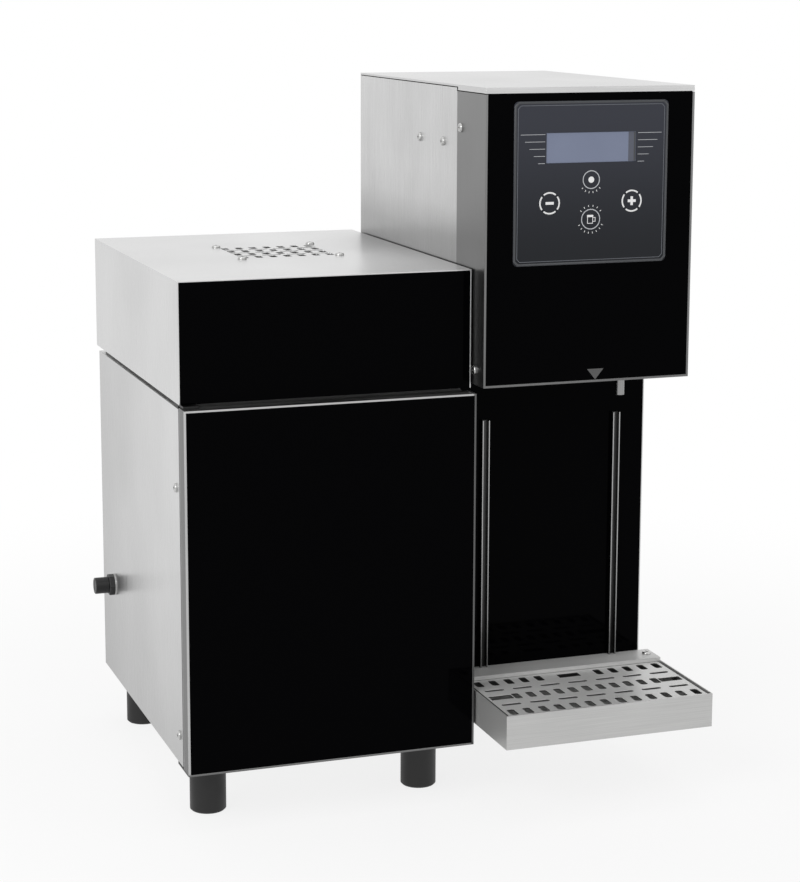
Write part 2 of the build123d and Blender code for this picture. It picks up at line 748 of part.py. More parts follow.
# Milk can with its lid, standing on the cavity's floor
can_y = (cavity_y[1] - can_back_gap - can_depth, cavity_y[1] - can_back_gap)
can_centre = (middle(cavity_x), middle(can_y))
can_top = cavity_z[0] + can_height
dip_x = can_centre[0]
with BuildPart() as milk_can:
    with BuildSketch(Plane.XY.offset(cavity_z[0])):
        with Locations(can_centre):
            RectangleRounded(can_width, can_depth, can_corner)
    extrude(amount=can_height)
    with BuildSketch(Plane.XY.offset(cavity_z[0] + can_wall)):
        with Locations(can_centre):
            RectangleRounded(can_width - 2 * can_wall, can_depth - 2 * can_wall,
                             can_corner - can_wall)
    extrude(amount=can_height - can_wall, mode=Mode.SUBTRACT)
keep(milk_can, "milk_can")

with BuildPart() as milk_can_lid:
    with BuildSketch(Plane.XY.offset(can_top)):
        with Locations(can_centre):
            RectangleRounded(can_width + 4, can_depth + 4, can_corner + 2)
    extrude(amount=lid_thickness)
    with BuildSketch(Plane.XY.offset(can_top)):
        with Locations(can_centre):
            RectangleRounded(can_width - 2 * can_wall - 1, can_depth - 2 * can_wall - 1,
                             can_corner - can_wall)
    extrude(amount=-lid_plug)
    with BuildSketch(Plane.XY.offset(can_top - lid_plug)):
        with Locations((dip_x, hose_back)):
            Circle(hose_radius + screw_play)
    extrude(amount=lid_plug + lid_thickness, mode=Mode.SUBTRACT)
keep(milk_can_lid, "milk_can_lid")


# Tower: sheet panels
def head_sheet(z):
    """Limits of a level sheet of the given underside."""
    return (z, z + sheet)


relief_y = (rear_y[0] - lid_relief[0], rear_y[0] + lid_relief[0])
relief_z = (lid_under - lid_relief[1], lid_under)
with BuildPart() as tower_side_left:
    with BuildSketch(side_plane(tower_x[0])):
        rectangle((column_y[0], rear_y[1]), column_z)
        rectangle(rear_y, head_side_z)
        rectangle(relief_y, relief_z, mode=Mode.SUBTRACT)
        with Locations(head_screw_spots):
            Circle(screw_hole_radius, mode=Mode.SUBTRACT)
        with Locations(hose_spot):
            Circle(hose_hole_radius, mode=Mode.SUBTRACT)
    extrude(amount=sheet)
keep(tower_side_left, "tower_side_left")

column_side_right = side_panel(column_in_x[1], (column_y[0], rear_y[1]), column_z, [])
keep(column_side_right, "column_side_right")

with BuildPart() as head_side_right:
    add(side_panel(head_in_x[1], rear_y, head_side_z, head_screw_spots).part)
    block((head_in_x[1], tower_x[1]), relief_y, relief_z, mode=Mode.SUBTRACT)
keep(head_side_right, "head_side_right")

with BuildPart() as head_floor:
    with BuildSketch(Plane.XY.offset(head_z[0])):
        rectangle(head_in_x, rear_y)
        with Locations((milk_port_x, hose_back), (water_x, hose_back)):
            Circle(hose_hole_radius, mode=Mode.SUBTRACT)
    extrude(amount=sheet)
keep(head_floor, "head_floor")

inlet_spot = (boiler_centre[0], inlet_z)
socket_spot = (tower_x[0] + socket_x, inlet_z)
with BuildPart() as tower_back:
    with BuildSketch(front_plane(head_y[1])):
        rectangle(column_x, column_z)
        rectangle(tower_x, (head_z[0], lid_under))
        with Locations(inlet_spot):
            Circle(inlet_pipe_radius + screw_play, mode=Mode.SUBTRACT)
        with Locations(socket_spot):
            Rectangle(socket_body[0] + 2 * screw_play, socket_body[1] + 2 * screw_play,
                      mode=Mode.SUBTRACT)
    extrude(amount=sheet)
keep(tower_back, "tower_back")

with BuildPart() as tower_base:
    block(column_in_x, (column_y[0] + column_panel, rear_y[1]), head_sheet(base_z))
keep(tower_base, "tower_base")

with BuildPart() as column_front:
    block(column_in_x, (column_y[0], column_y[0] + column_panel), column_z)
keep(column_front, "column_front")

with BuildPart() as tower_lid:
    block(tower_x, head_y, (lid_under, head_z[1]))
    block(tower_x, (cover_y[0], relief_y[0]), (cover_top, lid_under))
    block(head_in_x, (cover_y[0] + sheet, cover_y[1]), (cover_top, lid_under), mode=Mode.SUBTRACT)
    fillet(tower_lid.edges().filter_by(Axis.Z).group_by(Axis.Y)[0], 0.8)
keep(tower_lid, "tower_lid")

# Front cover of the head, with the lip behind the glass and the spout holes in its floor
glass_x = inside(tower_x, head_hem + edge_gap)
glass_z = (head_z[0] + head_hem + edge_gap, cover_top)
cover_in_z = (head_floor_top, cover_z[1])
with BuildPart() as head_cover:
    block(tower_x, cover_y, cover_z)
    block(head_in_x, (glass_y[1], cover_y[1]), cover_in_z, mode=Mode.SUBTRACT)
    block(inside(tower_x, head_hem), glass_y, (head_z[0] + head_hem, cover_z[1]), mode=Mode.SUBTRACT)
    with BuildSketch(front_plane(glass_y[1] + sheet)):
        rectangle(head_in_x, cover_in_z)
        rectangle(inside(head_in_x, lip_width), inside(cover_in_z, lip_width), mode=Mode.SUBTRACT)
    extrude(amount=sheet)
    with BuildSketch(Plane.XY.offset(head_z[0])):
        with Locations((brew_x, spout_back)):
            Circle(brew_spout_radius + screw_play)
        with Locations((water_x, spout_back)):
            Circle(water_spout_radius + screw_play)
    extrude(amount=sheet, mode=Mode.SUBTRACT)
    for x in (tower_x[0], head_in_x[1]):
        with BuildSketch(side_plane(x)):
            with Locations(cover_screw_spots):
                Circle(screw_hole_radius)
        extrude(amount=sheet, mode=Mode.SUBTRACT)
keep(head_cover, "head_cover")

display_x = (head_middle - display_size[0] / 2, head_middle + display_size[0] / 2)
display_window_z = (display_z, display_z + display_size[1])
key_spots = [((head_middle + x, head_z[0] + z), radius) for x, z, radius in keys.values()]
with BuildPart() as head_glass:
    with BuildSketch(front_plane(glass_y[1])):
        rectangle(glass_x, glass_z)
        rectangle(display_x, display_window_z, mode=Mode.SUBTRACT)
        with Locations([spot for spot, radius in key_spots]):
            Circle(key_stem_radius + stem_play, mode=Mode.SUBTRACT)
    extrude(amount=panel_thickness)
keep(head_glass, "head_glass")

with BuildPart() as panel_overlay:
    with BuildSketch(front_plane(glass_y[0])):
        with Locations((head_middle, middle(overlay_z))):
            RectangleRounded(*overlay_size, overlay_corner)
        rectangle(display_x, display_window_z, mode=Mode.SUBTRACT)
        for spot, radius in key_spots:
            with Locations(spot):
                Circle(radius + key_gap, mode=Mode.SUBTRACT)
    extrude(amount=overlay_thickness)
keep(panel_overlay, "panel_overlay")

display_back_z = inside(display_window_z, (display_size[1] - display_body[1]) / 2)
display_back_x = inside(display_x, (display_size[0] - display_body[0]) / 2)
with BuildPart() as display_module:
    block(display_back_x, (glass_y[1], board_y), display_back_z)
    block(inside(display_x, screw_play), (glass_y[0] - display_proud, glass_y[1]),
          inside(display_window_z, screw_play))
keep(display_module, "display_module")

# Four keys, each a cap in the overlay with a stem through the glass to its switch
stem_end = board_y - (board_standoff - key_travel)
for (name, (x, z, radius)) in keys.items():
    with BuildPart() as key:
        with BuildSketch(front_plane(key_y + key_cap)):
            with Locations((head_middle + x, head_z[0] + z)):
                Circle(radius)
        extrude(amount=key_cap)
        fillet(key.edges().sort_by(Axis.Y)[0], 0.15)
        with BuildSketch(front_plane(stem_end)):
            with Locations((head_middle + x, head_z[0] + z)):
                Circle(key_stem_radius)
        extrude(amount=stem_end - key_y - key_cap)
    keep(key, name)

switch_top = stem_end + key_travel + screw_play
board_x = (head_middle - board_size[0] / 2, head_middle + board_size[0] / 2)
board_z = (middle(overlay_z) - board_size[1] / 2, middle(overlay_z) + board_size[1] / 2)
with BuildPart() as control_board:
    block(board_x, (board_y, board_y + board_thickness), board_z)
    with BuildSketch(front_plane(board_y)):
        with Locations([spot for spot, radius in key_spots]):
            Rectangle(switch_size, switch_size)
    extrude(amount=board_y - switch_top)
    with BuildSketch(front_plane(board_y)):
        with Locations((head_middle, middle(board_z))):
            with GridLocations(board_size[0] - 10, board_size[1] - 10, 2, 2):
                Circle(standoff_radius)
    extrude(amount=board_standoff)
keep(control_board, "control_board")

# Spouts in the head's front: one with its mixing head, one with its valve on top
chamber_top = spout_top + chamber_height
with BuildPart() as brew_spout:
    with BuildSketch(Plane.XY.offset(head_z[0] - brew_spout_drop)):
        with Locations((brew_x, spout_back)):
            Circle(brew_spout_radius)
    extrude(amount=brew_spout_drop + spout_rise)
    chamfer(brew_spout.edges().group_by(Axis.Z)[0], 1.0)
    with BuildSketch(Plane.XY.offset(spout_top)):
        with Locations((brew_x, spout_back)):
            Circle(chamber_radius)
    extrude(amount=chamber_height)
    fillet(brew_spout.edges().group_by(Axis.Z)[-1], 3.0)
    with BuildSketch(Plane.XY.offset(head_z[0] - brew_spout_drop)):
        with Locations((brew_x, spout_back)):
            Circle(brew_spout_radius - 2 * spout_wall)
    extrude(amount=brew_spout_drop + spout_rise, mode=Mode.SUBTRACT)
    with BuildSketch(Plane.XY.offset(spout_top)):
        with Locations((brew_x, spout_back)):
            Circle(hose_bore_radius)
    extrude(amount=chamber_height, mode=Mode.SUBTRACT)
keep(brew_spout, "brew_spout")

with BuildPart() as water_spout:
    with BuildSketch(Plane.XY.offset(head_z[0] - water_spout_drop)):
        with Locations((water_x, spout_back)):
            Circle(water_spout_radius)
            Circle(water_spout_radius - spout_wall, mode=Mode.SUBTRACT)
    extrude(amount=water_spout_drop + spout_rise)
keep(water_spout, "water_spout")

valve_back = spout_back + valve_size[1] / 2
with BuildPart() as hot_water_valve:
    with BuildSketch(Plane.XY.offset(spout_top)):
        with Locations((water_x, spout_back)):
            RectangleRounded(valve_size[0], valve_size[1], 3)
            Circle(hose_bore_radius, mode=Mode.SUBTRACT)
    extrude(amount=valve_size[2])
    with BuildSketch(front_plane(valve_back)):
        with Locations((water_x, spout_top + valve_size[2] / 2)):
            Circle(coil_radius)
    extrude(amount=-coil_length)
keep(hot_water_valve, "hot_water_valve")

# Peristaltic milk pump: ring, back wall with the shaft, motor, ports and its foot
with BuildPart() as milk_pump:
    with BuildSketch(front_plane(pump_y[1])):
        with Locations((pump_x, pump_z)):
            Circle(pump_radius)
            Circle(pump_bore_radius, mode=Mode.SUBTRACT)
    extrude(amount=pump_depth)
    with BuildSketch(front_plane(pump_y[1])):
        with Locations((pump_x, pump_z)):
            Circle(pump_radius)
    extrude(amount=pump_wall)
    with BuildSketch(front_plane(pump_y[1])):
        with Locations((pump_x, pump_z)):
            Circle(pump_shaft_radius)
    extrude(amount=pump_depth - pump_wall)
    with BuildSketch(front_plane(pump_y[1])):
        with Locations((pump_x, pump_z)):
            Circle(motor_radius)
    extrude(amount=-motor_length)
    with BuildSketch(Plane.XY.offset(port_z)):
        with Locations((milk_port_x, hose_back), (brew_x, hose_back)):
            Circle(hose_radius)
            Circle(hose_bore_radius, mode=Mode.SUBTRACT)
    extrude(amount=pump_port_drop - pump_port_offset)
    block((pump_x - bracket_width / 2, pump_x + bracket_width / 2),
          (pump_y[1] + bracket_thickness, pump_y[1] + 2 * bracket_thickness),
          (head_floor_top, pump_z - pump_shaft_radius))
    with BuildSketch(front_plane(pump_y[1] - pump_wall)):
        with Locations((pump_x, pump_z)):
            Circle(pump_bore_radius)
            Circle(pump_shaft_radius, mode=Mode.SUBTRACT)
    extrude(amount=pump_depth, mode=Mode.SUBTRACT)
keep(milk_pump, "milk_pump")

rotor_y = (pump_y[0] + pump_front_gap, pump_y[1] - pump_wall - body_gap)
with BuildPart() as pump_rotor:
    with BuildSketch(front_plane(rotor_y[1])):
        with Locations((pump_x, pump_z)):
            Circle(pump_hub_radius)
    extrude(amount=length(rotor_y))
    with BuildSketch(front_plane(rotor_y[1])):
        with Locations((pump_x, pump_z)):
            Circle(pump_roller_circle + pump_wall / 2)
    extrude(amount=pump_arm)
    with BuildSketch(front_plane(rotor_y[1])):
        with Locations((pump_x, pump_z)):
            with PolarLocations(pump_roller_circle, pump_roller_count):
                Circle(pump_roller_radius)
    extrude(amount=length(rotor_y) - pump_arm)
    with BuildSketch(front_plane(rotor_y[1])):
        with Locations((pump_x, pump_z)):
            Circle(pump_shaft_radius + pin_play)
    extrude(amount=length(rotor_y), mode=Mode.SUBTRACT)
keep(pump_rotor, "pump_rotor")

# Boiler on its skirt, with a heating element through its floor
with BuildPart() as boiler_tank:
    with BuildSketch(Plane.XY.offset(base_z + sheet)):
        with Locations(boiler_centre):
            Circle(boiler_radius)
    extrude(amount=boiler_z[1] - base_z - sheet)
    fillet(boiler_tank.edges().group_by(Axis.Z)[-1], boiler_shoulder)
    with BuildSketch(Plane.XY.offset(boiler_z[0])):
        with Locations(boiler_centre):
            Circle(boiler_radius - boiler_wall)
    extrude(amount=boiler_height - boiler_roof, mode=Mode.SUBTRACT)
    with BuildSketch(Plane.XY.offset(base_z + sheet)):
        with Locations(boiler_centre):
            Circle(boiler_radius - boiler_wall)
    extrude(amount=boiler_floor - sheet - boiler_wall, mode=Mode.SUBTRACT)
    with BuildSketch(Plane.XY.offset(boiler_z[0] - boiler_wall)):
        with Locations(boiler_centre):
            with Locations((element_spread, 0), (-element_spread, 0)):
                Circle(element_radius + screw_play)
    extrude(amount=boiler_wall, mode=Mode.SUBTRACT)
    with BuildSketch(Plane.XY.offset(boiler_z[1] - boiler_wall)):
        with Locations((water_x, hose_back)):
            Circle(hose_radius)
            Circle(hose_bore_radius, mode=Mode.SUBTRACT)
    extrude(amount=boiler_outlet_height + boiler_wall)
keep(boiler_tank, "boiler_tank")

element_z = (boiler_z[0] - boiler_wall - element_drop,boiler_z[0] + element_rise)
with BuildPart() as heating_element:
    with BuildLine(front_plane(hose_back)):
        left_leg = Line((boiler_centre[0] - element_spread, element_z[0]),
                        (boiler_centre[0] - element_spread, element_z[1]))
        bend = TangentArc(left_leg @ 1, (boiler_centre[0] + element_spread, element_z[1]),
                          tangent=left_leg % 1)
        Line(bend @ 1, (boiler_centre[0] + element_spread, element_z[0]))
    with BuildSketch(Plane.XY.offset(element_z[0])):
        with Locations((boiler_centre[0] - element_spread, hose_back)):
            Circle(element_radius)
    sweep()
keep(heating_element, "heating_element")

# Water inlet through the back panel, up to the boiler's wall
inlet_end = head_y[1] + inlet_flange + inlet_thread_length
with BuildPart() as water_inlet:
    with BuildSketch(front_plane(inlet_end)):
        with Locations(inlet_spot):
            Circle(inlet_thread_radius)
    extrude(amount=inlet_thread_length)
    chamfer(water_inlet.edges().group_by(Axis.Y)[-1], 0.8)
    with BuildSketch(front_plane(head_y[1] + inlet_flange)):
        with Locations(inlet_spot):
            RegularPolygon(inlet_flange_radius, 6, major_radius=False)
    extrude(amount=inlet_flange)
    with BuildSketch(front_plane(head_y[1])):
        with Locations(inlet_spot):
            Circle(inlet_pipe_radius)
    extrude(amount=head_y[1] - boiler_centre[1] - boiler_radius - body_gap)
    with BuildSketch(front_plane(inlet_end)):
        with Locations(inlet_spot):
            Circle(inlet_bore_radius)
    extrude(amount=inlet_end - boiler_centre[1] - boiler_radius, mode=Mode.SUBTRACT)
keep(water_inlet, "water_inlet")

# Mains socket in the back panel
socket_face = head_y[1] + socket_flange_thickness
pin_end = socket_face - socket_recess_depth + socket_pin_length
with BuildPart() as power_inlet:
    with BuildSketch(front_plane(socket_face)):
        with Locations(socket_spot):
            RectangleRounded(*socket_flange, 3)
    extrude(amount=socket_flange_thickness)
    with BuildSketch(front_plane(head_y[1])):
        with Locations(socket_spot):
            RectangleRounded(*socket_body, 2)
    extrude(amount=socket_depth)
    with BuildSketch(front_plane(socket_face)):
        with Locations(socket_spot):
            RectangleRounded(*socket_recess, 3)
    extrude(amount=socket_recess_depth, mode=Mode.SUBTRACT)
    with BuildSketch(front_plane(pin_end)):
        with Locations(socket_spot):
            with Locations(*socket_pin_places):
                Rectangle(*socket_pin)
    extrude(amount=socket_pin_length)
keep(power_inlet, "power_inlet")


# Hoses: each a tube swept along straight runs and round bends
dip_end = cavity_z[0] + can_wall + dip_clearance
outlet_top = boiler_z[1] + boiler_outlet_height
valve_top = spout_top + valve_size[2]
hose_runs = (
    (front_plane(hose_back), (dip_x, hose_back), hose_bend,
     [(dip_x, dip_end), (dip_x, milk_hose_z), (milk_port_x, milk_hose_z), (milk_port_x, port_z)]),
    (side_plane(brew_x), (brew_x, hose_back), head_hose_bend,
     [(hose_back, port_z), (hose_back, hose_z), (spout_back, hose_z), (spout_back, chamber_top)]),
    (side_plane(water_x), (water_x, hose_back), head_hose_bend,
     [(hose_back, outlet_top), (hose_back, hose_z), (spout_back, hose_z), (spout_back, valve_top)]),
)
with BuildPart() as hoses:
    for run_plane, mouth, bend, points in hose_runs:
        with BuildLine(run_plane) as run:
            FilletPolyline(*points, radius=bend)
        with BuildSketch(Plane.XY.offset(points[0][1])):
            with Locations(mouth):
                Circle(hose_radius)
                Circle(hose_bore_radius, mode=Mode.SUBTRACT)
        sweep(path=run.line)
keep(hoses, "hoses")

# Rails on the column's front
with BuildPart() as front_rails:
    with BuildSketch(Plane.XY.offset(rail_z[0])):
        with Locations((column_middle, column_y[0] - rail_depth / 2)):
            with GridLocations(rail_spacing, 0, 2, 1):
                Rectangle(rail_width, rail_depth)
                with Locations((0, -rail_wall / 2)):
                    Rectangle(rail_width - 2 * rail_wall, rail_depth - rail_wall,
                              mode=Mode.SUBTRACT)
    extrude(amount=length(rail_z))
keep(front_rails, "front_rails")

# Bracket that carries the tray on the column
with BuildPart() as tray_bracket:
    block(tray_x, (tray_y[1], column_y[0]), (tray_z[0], ledge_z))
    block(inside(tray_x, sheet), (tray_y[1] + sheet, column_y[0] - sheet),
          (tray_z[0], ledge_z - sheet), mode=Mode.SUBTRACT)
    with BuildSketch(Plane.XY.offset(ledge_z - sheet)):
        with Locations(ledge_screw_spots):
            Circle(screw_hole_radius)
    extrude(amount=sheet, mode=Mode.SUBTRACT)
keep(tray_bracket, "tray_bracket")

# Drip tray with corner tabs, and the slotted grid that lifts off them
tray_in_x = inside(tray_x, sheet)
tray_in_y = inside(tray_y, sheet)
skirt_bottom = grid_top - grid_sheet - grid_skirt
tab_z = (skirt_bottom - body_gap - tab_thickness, skirt_bottom - body_gap)
with BuildPart() as drip_tray:
    block(tray_x, tray_y, tray_z)
    block(tray_in_x, tray_in_y, (tray_z[0] + sheet, tray_z[1]), mode=Mode.SUBTRACT)
    for x in (tray_in_x[0], tray_in_x[1] - tab_size):
        for y in (tray_in_y[0], tray_in_y[1] - tab_size):
            block((x, x + tab_size), (y, y + tab_size), tab_z)
keep(drip_tray, "drip_tray")

grid_x = inside(tray_in_x, grid_gap[0])
grid_y = inside(tray_in_y, grid_gap[1])
tall_row_spots = [(column * tall_pitch, row * 2 * grid_row_pitch)
                  for row in (-1, 1) for column in range(-6, 7)
                  if row == -1 or abs(column) > 1]
middle_row_spots = [(column * middle_pitch, 0) for column in range(-5, 6)]
middle_end_spots = [(side * (6.1 * middle_pitch), 0) for side in (-1, 1)]
with BuildPart() as drip_grid:
    block(grid_x, grid_y, (skirt_bottom, grid_top))
    block(inside(grid_x, grid_sheet), inside(grid_y, grid_sheet),
          (skirt_bottom, grid_top - grid_sheet), mode=Mode.SUBTRACT)
    with BuildSketch(Plane.XY.offset(grid_top - grid_sheet)):
        with Locations(tray_middle):
            with Locations(tall_row_spots, middle_row_spots):
                RectangleRounded(*tall_slot, tall_slot_corner)
            with GridLocations(wide_pitch, 2 * grid_row_pitch, 7, 2):
                SlotOverall(*wide_slot)
            with Locations((0, 2 * grid_row_pitch), *middle_end_spots):
                Rectangle(*middle_slot)
    extrude(amount=grid_sheet, mode=Mode.SUBTRACT)
    fillet(drip_grid.edges().filter_by(Axis.Z).group_by(Axis.Y)[0], 1.0)
keep(drip_grid, "drip_grid")


# Feet of both modules
tower_foot_x = (column_x[0] + tower_foot_inset[0],
                column_x[0] + tower_foot_inset[0] + tower_foot_spacing[0])
tower_foot_y = (head_y[1] - tower_foot_inset[1] - tower_foot_spacing[1],
                head_y[1] - tower_foot_inset[1])
foot_spots = [(x, y) for x in inside(cabinet_x, chiller_foot_inset[0])
              for y in inside(cabinet_y, chiller_foot_inset[1])]
foot_spots += [(x, y) for x in tower_foot_x for y in tower_foot_y]
with BuildPart() as feet:
    with BuildSketch():
        with Locations(foot_spots):
            Circle(foot_radius)
    extrude(amount=foot_height)
    chamfer(feet.edges().group_by(Axis.Z)[0], foot_chamfer)
keep(feet, "feet")
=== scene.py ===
import bpy
import bmesh
import math
from mathutils import Matrix, Vector


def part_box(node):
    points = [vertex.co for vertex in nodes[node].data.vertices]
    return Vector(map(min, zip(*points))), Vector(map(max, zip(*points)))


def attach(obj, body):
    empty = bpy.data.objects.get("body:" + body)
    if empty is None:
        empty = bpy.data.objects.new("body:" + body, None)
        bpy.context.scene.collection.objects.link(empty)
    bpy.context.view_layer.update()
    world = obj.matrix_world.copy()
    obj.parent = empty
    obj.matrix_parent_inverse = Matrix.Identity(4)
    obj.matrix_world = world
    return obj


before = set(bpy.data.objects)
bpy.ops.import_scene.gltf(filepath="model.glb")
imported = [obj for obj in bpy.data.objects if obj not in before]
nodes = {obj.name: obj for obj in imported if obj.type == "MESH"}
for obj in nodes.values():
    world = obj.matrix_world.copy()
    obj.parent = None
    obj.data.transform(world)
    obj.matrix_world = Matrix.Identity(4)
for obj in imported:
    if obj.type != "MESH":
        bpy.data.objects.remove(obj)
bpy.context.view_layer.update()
mm = 0.001
print("frame loaded:", len(nodes), "nodes")


# small helpers

def paint(code):  # sRGB hex to linear colour
    parts = [int(code[i:i + 2], 16) / 255 for i in (1, 3, 5)]
    linear = [c / 12.92 if c <= 0.04045 else ((c + 0.055) / 1.055) ** 2.4 for c in parts]
    return (*linear, 1.0)


def addNode(tree, kind, settings=None, inputs=None):  # a value or an output socket for each input
    node = tree.nodes.new(kind)
    for key, value in (settings or {}).items():
        setattr(node, key, value)
    for key, value in (inputs or {}).items():
        if isinstance(value, bpy.types.NodeSocket):
            tree.links.new(value, node.inputs[key])
        else:
            node.inputs[key].default_value = value
    return node


def newMaterial(name):  # material, its tree, its shader and its place in object coordinates
    material = bpy.data.materials.new(name)
    material.use_nodes = True
    tree = material.node_tree
    tree.nodes.clear()
    shader = addNode(tree, "ShaderNodeBsdfPrincipled")
    output = addNode(tree, "ShaderNodeOutputMaterial")
    tree.links.new(shader.outputs["BSDF"], output.inputs["Surface"])
    place = addNode(tree, "ShaderNodeTexCoord").outputs["Object"]
    return material, tree, shader, place


def dress(material, *names):  # gives CAD nodes their finish
    for name in names:
        data = nodes[name].data
        data.materials.clear()
        data.materials.append(material)


def centreOf(node):
    low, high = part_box(node)
    return (low + high) / 2


# camera at the photograph's angle
cameraSet = {
    "place": (-752.9, -2194.6, 827.9),  # mm
    "yaw": -19.41,
    "pitch": -9.87,
    "roll": 0.16,
    "lens": 91.1,
    "shift": -0.0794,
}


def makeCamera(s):
    yaw, pitch, roll = (math.radians(s[key]) for key in ("yaw", "pitch", "roll"))
    ahead = Vector((-math.sin(yaw) * math.cos(pitch), math.cos(yaw) * math.cos(pitch), math.sin(pitch)))
    right = Vector((math.cos(yaw), math.sin(yaw), 0))
    up = right.cross(ahead)
    right, up = (right * math.cos(roll) + up * math.sin(roll), up * math.cos(roll) - right * math.sin(roll))
    data = bpy.data.cameras.new("photoCamera")
    data.sensor_width = 36
    data.lens = s["lens"]
    data.shift_y = s["shift"]
    data.clip_end = 50
    camera = bpy.data.objects.new("photoCamera", data)
    turn = Matrix((right, up, -ahead)).transposed().to_4x4()
    camera.matrix_world = Matrix.Translation(Vector(s["place"]) * mm) @ turn
    bpy.context.scene.collection.objects.link(camera)
    bpy.context.scene.camera = camera


makeCamera(cameraSet)

# soft studio: white surroundings, a pale floor and three soft lamps
studioSet = {
    "worldLevel": 0.62,
    "floorSize": 12.0,
    "floorOwnLight": 0.82,
    "floorWhite": (0.35, 1.3),  # m from the middle: where the floor starts to whiten, and is white
    "lamps": {  # place, aim, size in m, power in W
        "lampLeft": ((-2.2, -1.6, 1.9), (-0.05, 0.0, 0.4), 1.6, 30),
        "lampRight": ((2.4, -1.8, 1.5), (0.1, 0.0, 0.4), 1.4, 8),
        "lampTop": ((0.1, 0.2, 2.9), (0.0, 0.0, 0.5), 1.8, 9),
    },
}


def makeStudio(s):
    world = bpy.data.worlds.new("paleStudio")
    bpy.context.scene.world = world
    world.use_nodes = True
    tree = world.node_tree
    tree.nodes.clear()
    path = addNode(tree, "ShaderNodeLightPath")
    seen = addNode(tree, "ShaderNodeMath", {"operation": "MAXIMUM"},
                   {0: path.outputs["Is Camera Ray"], 1: path.outputs["Is Glossy Ray"]})
    seen = addNode(tree, "ShaderNodeMath", {"operation": "MAXIMUM"},
                   {0: seen.outputs[0], 1: path.outputs["Is Transmission Ray"]})
    level = addNode(tree, "ShaderNodeMapRange", None, {0: seen.outputs[0], 3: s["worldLevel"], 4: 1.0})
    back = addNode(tree, "ShaderNodeBackground", None,
                   {"Color": (1, 1, 1, 1), "Strength": level.outputs[0]})
    output = addNode(tree, "ShaderNodeOutputWorld")
    tree.links.new(back.outputs[0], output.inputs["Surface"])

    mesh = bpy.data.meshes.new("studioFloor")
    half = s["floorSize"] / 2
    corners = [(-half, -half, 0), (half, -half, 0), (half, half, 0), (-half, half, 0)]
    mesh.from_pydata(corners, [], [(0, 1, 2, 3)])
    floor = bpy.data.objects.new("studioFloor", mesh)
    bpy.context.scene.collection.objects.link(floor)
    material = bpy.data.materials.new("paperFloor")
    material.use_nodes = True
    tree = material.node_tree
    tree.nodes.clear()
    path = addNode(tree, "ShaderNodeLightPath")
    seen = addNode(tree, "ShaderNodeMath", {"operation": "MAXIMUM"},
                   {0: path.outputs["Is Camera Ray"], 1: path.outputs["Is Glossy Ray"]})
    spot = addNode(tree, "ShaderNodeTexCoord").outputs["Object"]
    reach = addNode(tree, "ShaderNodeVectorMath", {"operation": "LENGTH"}, {0: spot})
    own = addNode(tree, "ShaderNodeMapRange", {"interpolation_type": "SMOOTHSTEP"},
                  {0: reach.outputs["Value"], 1: s["floorWhite"][0], 2: s["floorWhite"][1],
                   3: s["floorOwnLight"], 4: 1.0})
    share = addNode(tree, "ShaderNodeMath", {"operation": "MULTIPLY"},
                    {0: seen.outputs[0], 1: own.outputs[0]})
    paper = addNode(tree, "ShaderNodeBsdfDiffuse", None, {"Color": (0.9, 0.9, 0.9, 1)})
    glow = addNode(tree, "ShaderNodeEmission", None, {"Color": (1, 1, 1, 1), "Strength": 1.0})
    mix = addNode(tree, "ShaderNodeMixShader", None,
                  {0: share.outputs[0], 1: paper.outputs[0], 2: glow.outputs[0]})
    output = addNode(tree, "ShaderNodeOutputMaterial")
    tree.links.new(mix.outputs[0], output.inputs["Surface"])
    mesh.materials.append(material)

    for name, (place, aim, size, power) in s["lamps"].items():
        data = bpy.data.lights.new(name, "AREA")
        data.size = size
        data.energy = power
        lamp = bpy.data.objects.new(name, data)
        lamp.location = place
        lamp.rotation_euler = (Vector(aim) - Vector(place)).to_track_quat("-Z", "Y").to_euler()
        bpy.context.scene.collection.objects.link(lamp)
    bpy.context.scene.view_settings.view_transform = "Standard"


makeStudio(studioSet)
print("camera and studio ready")


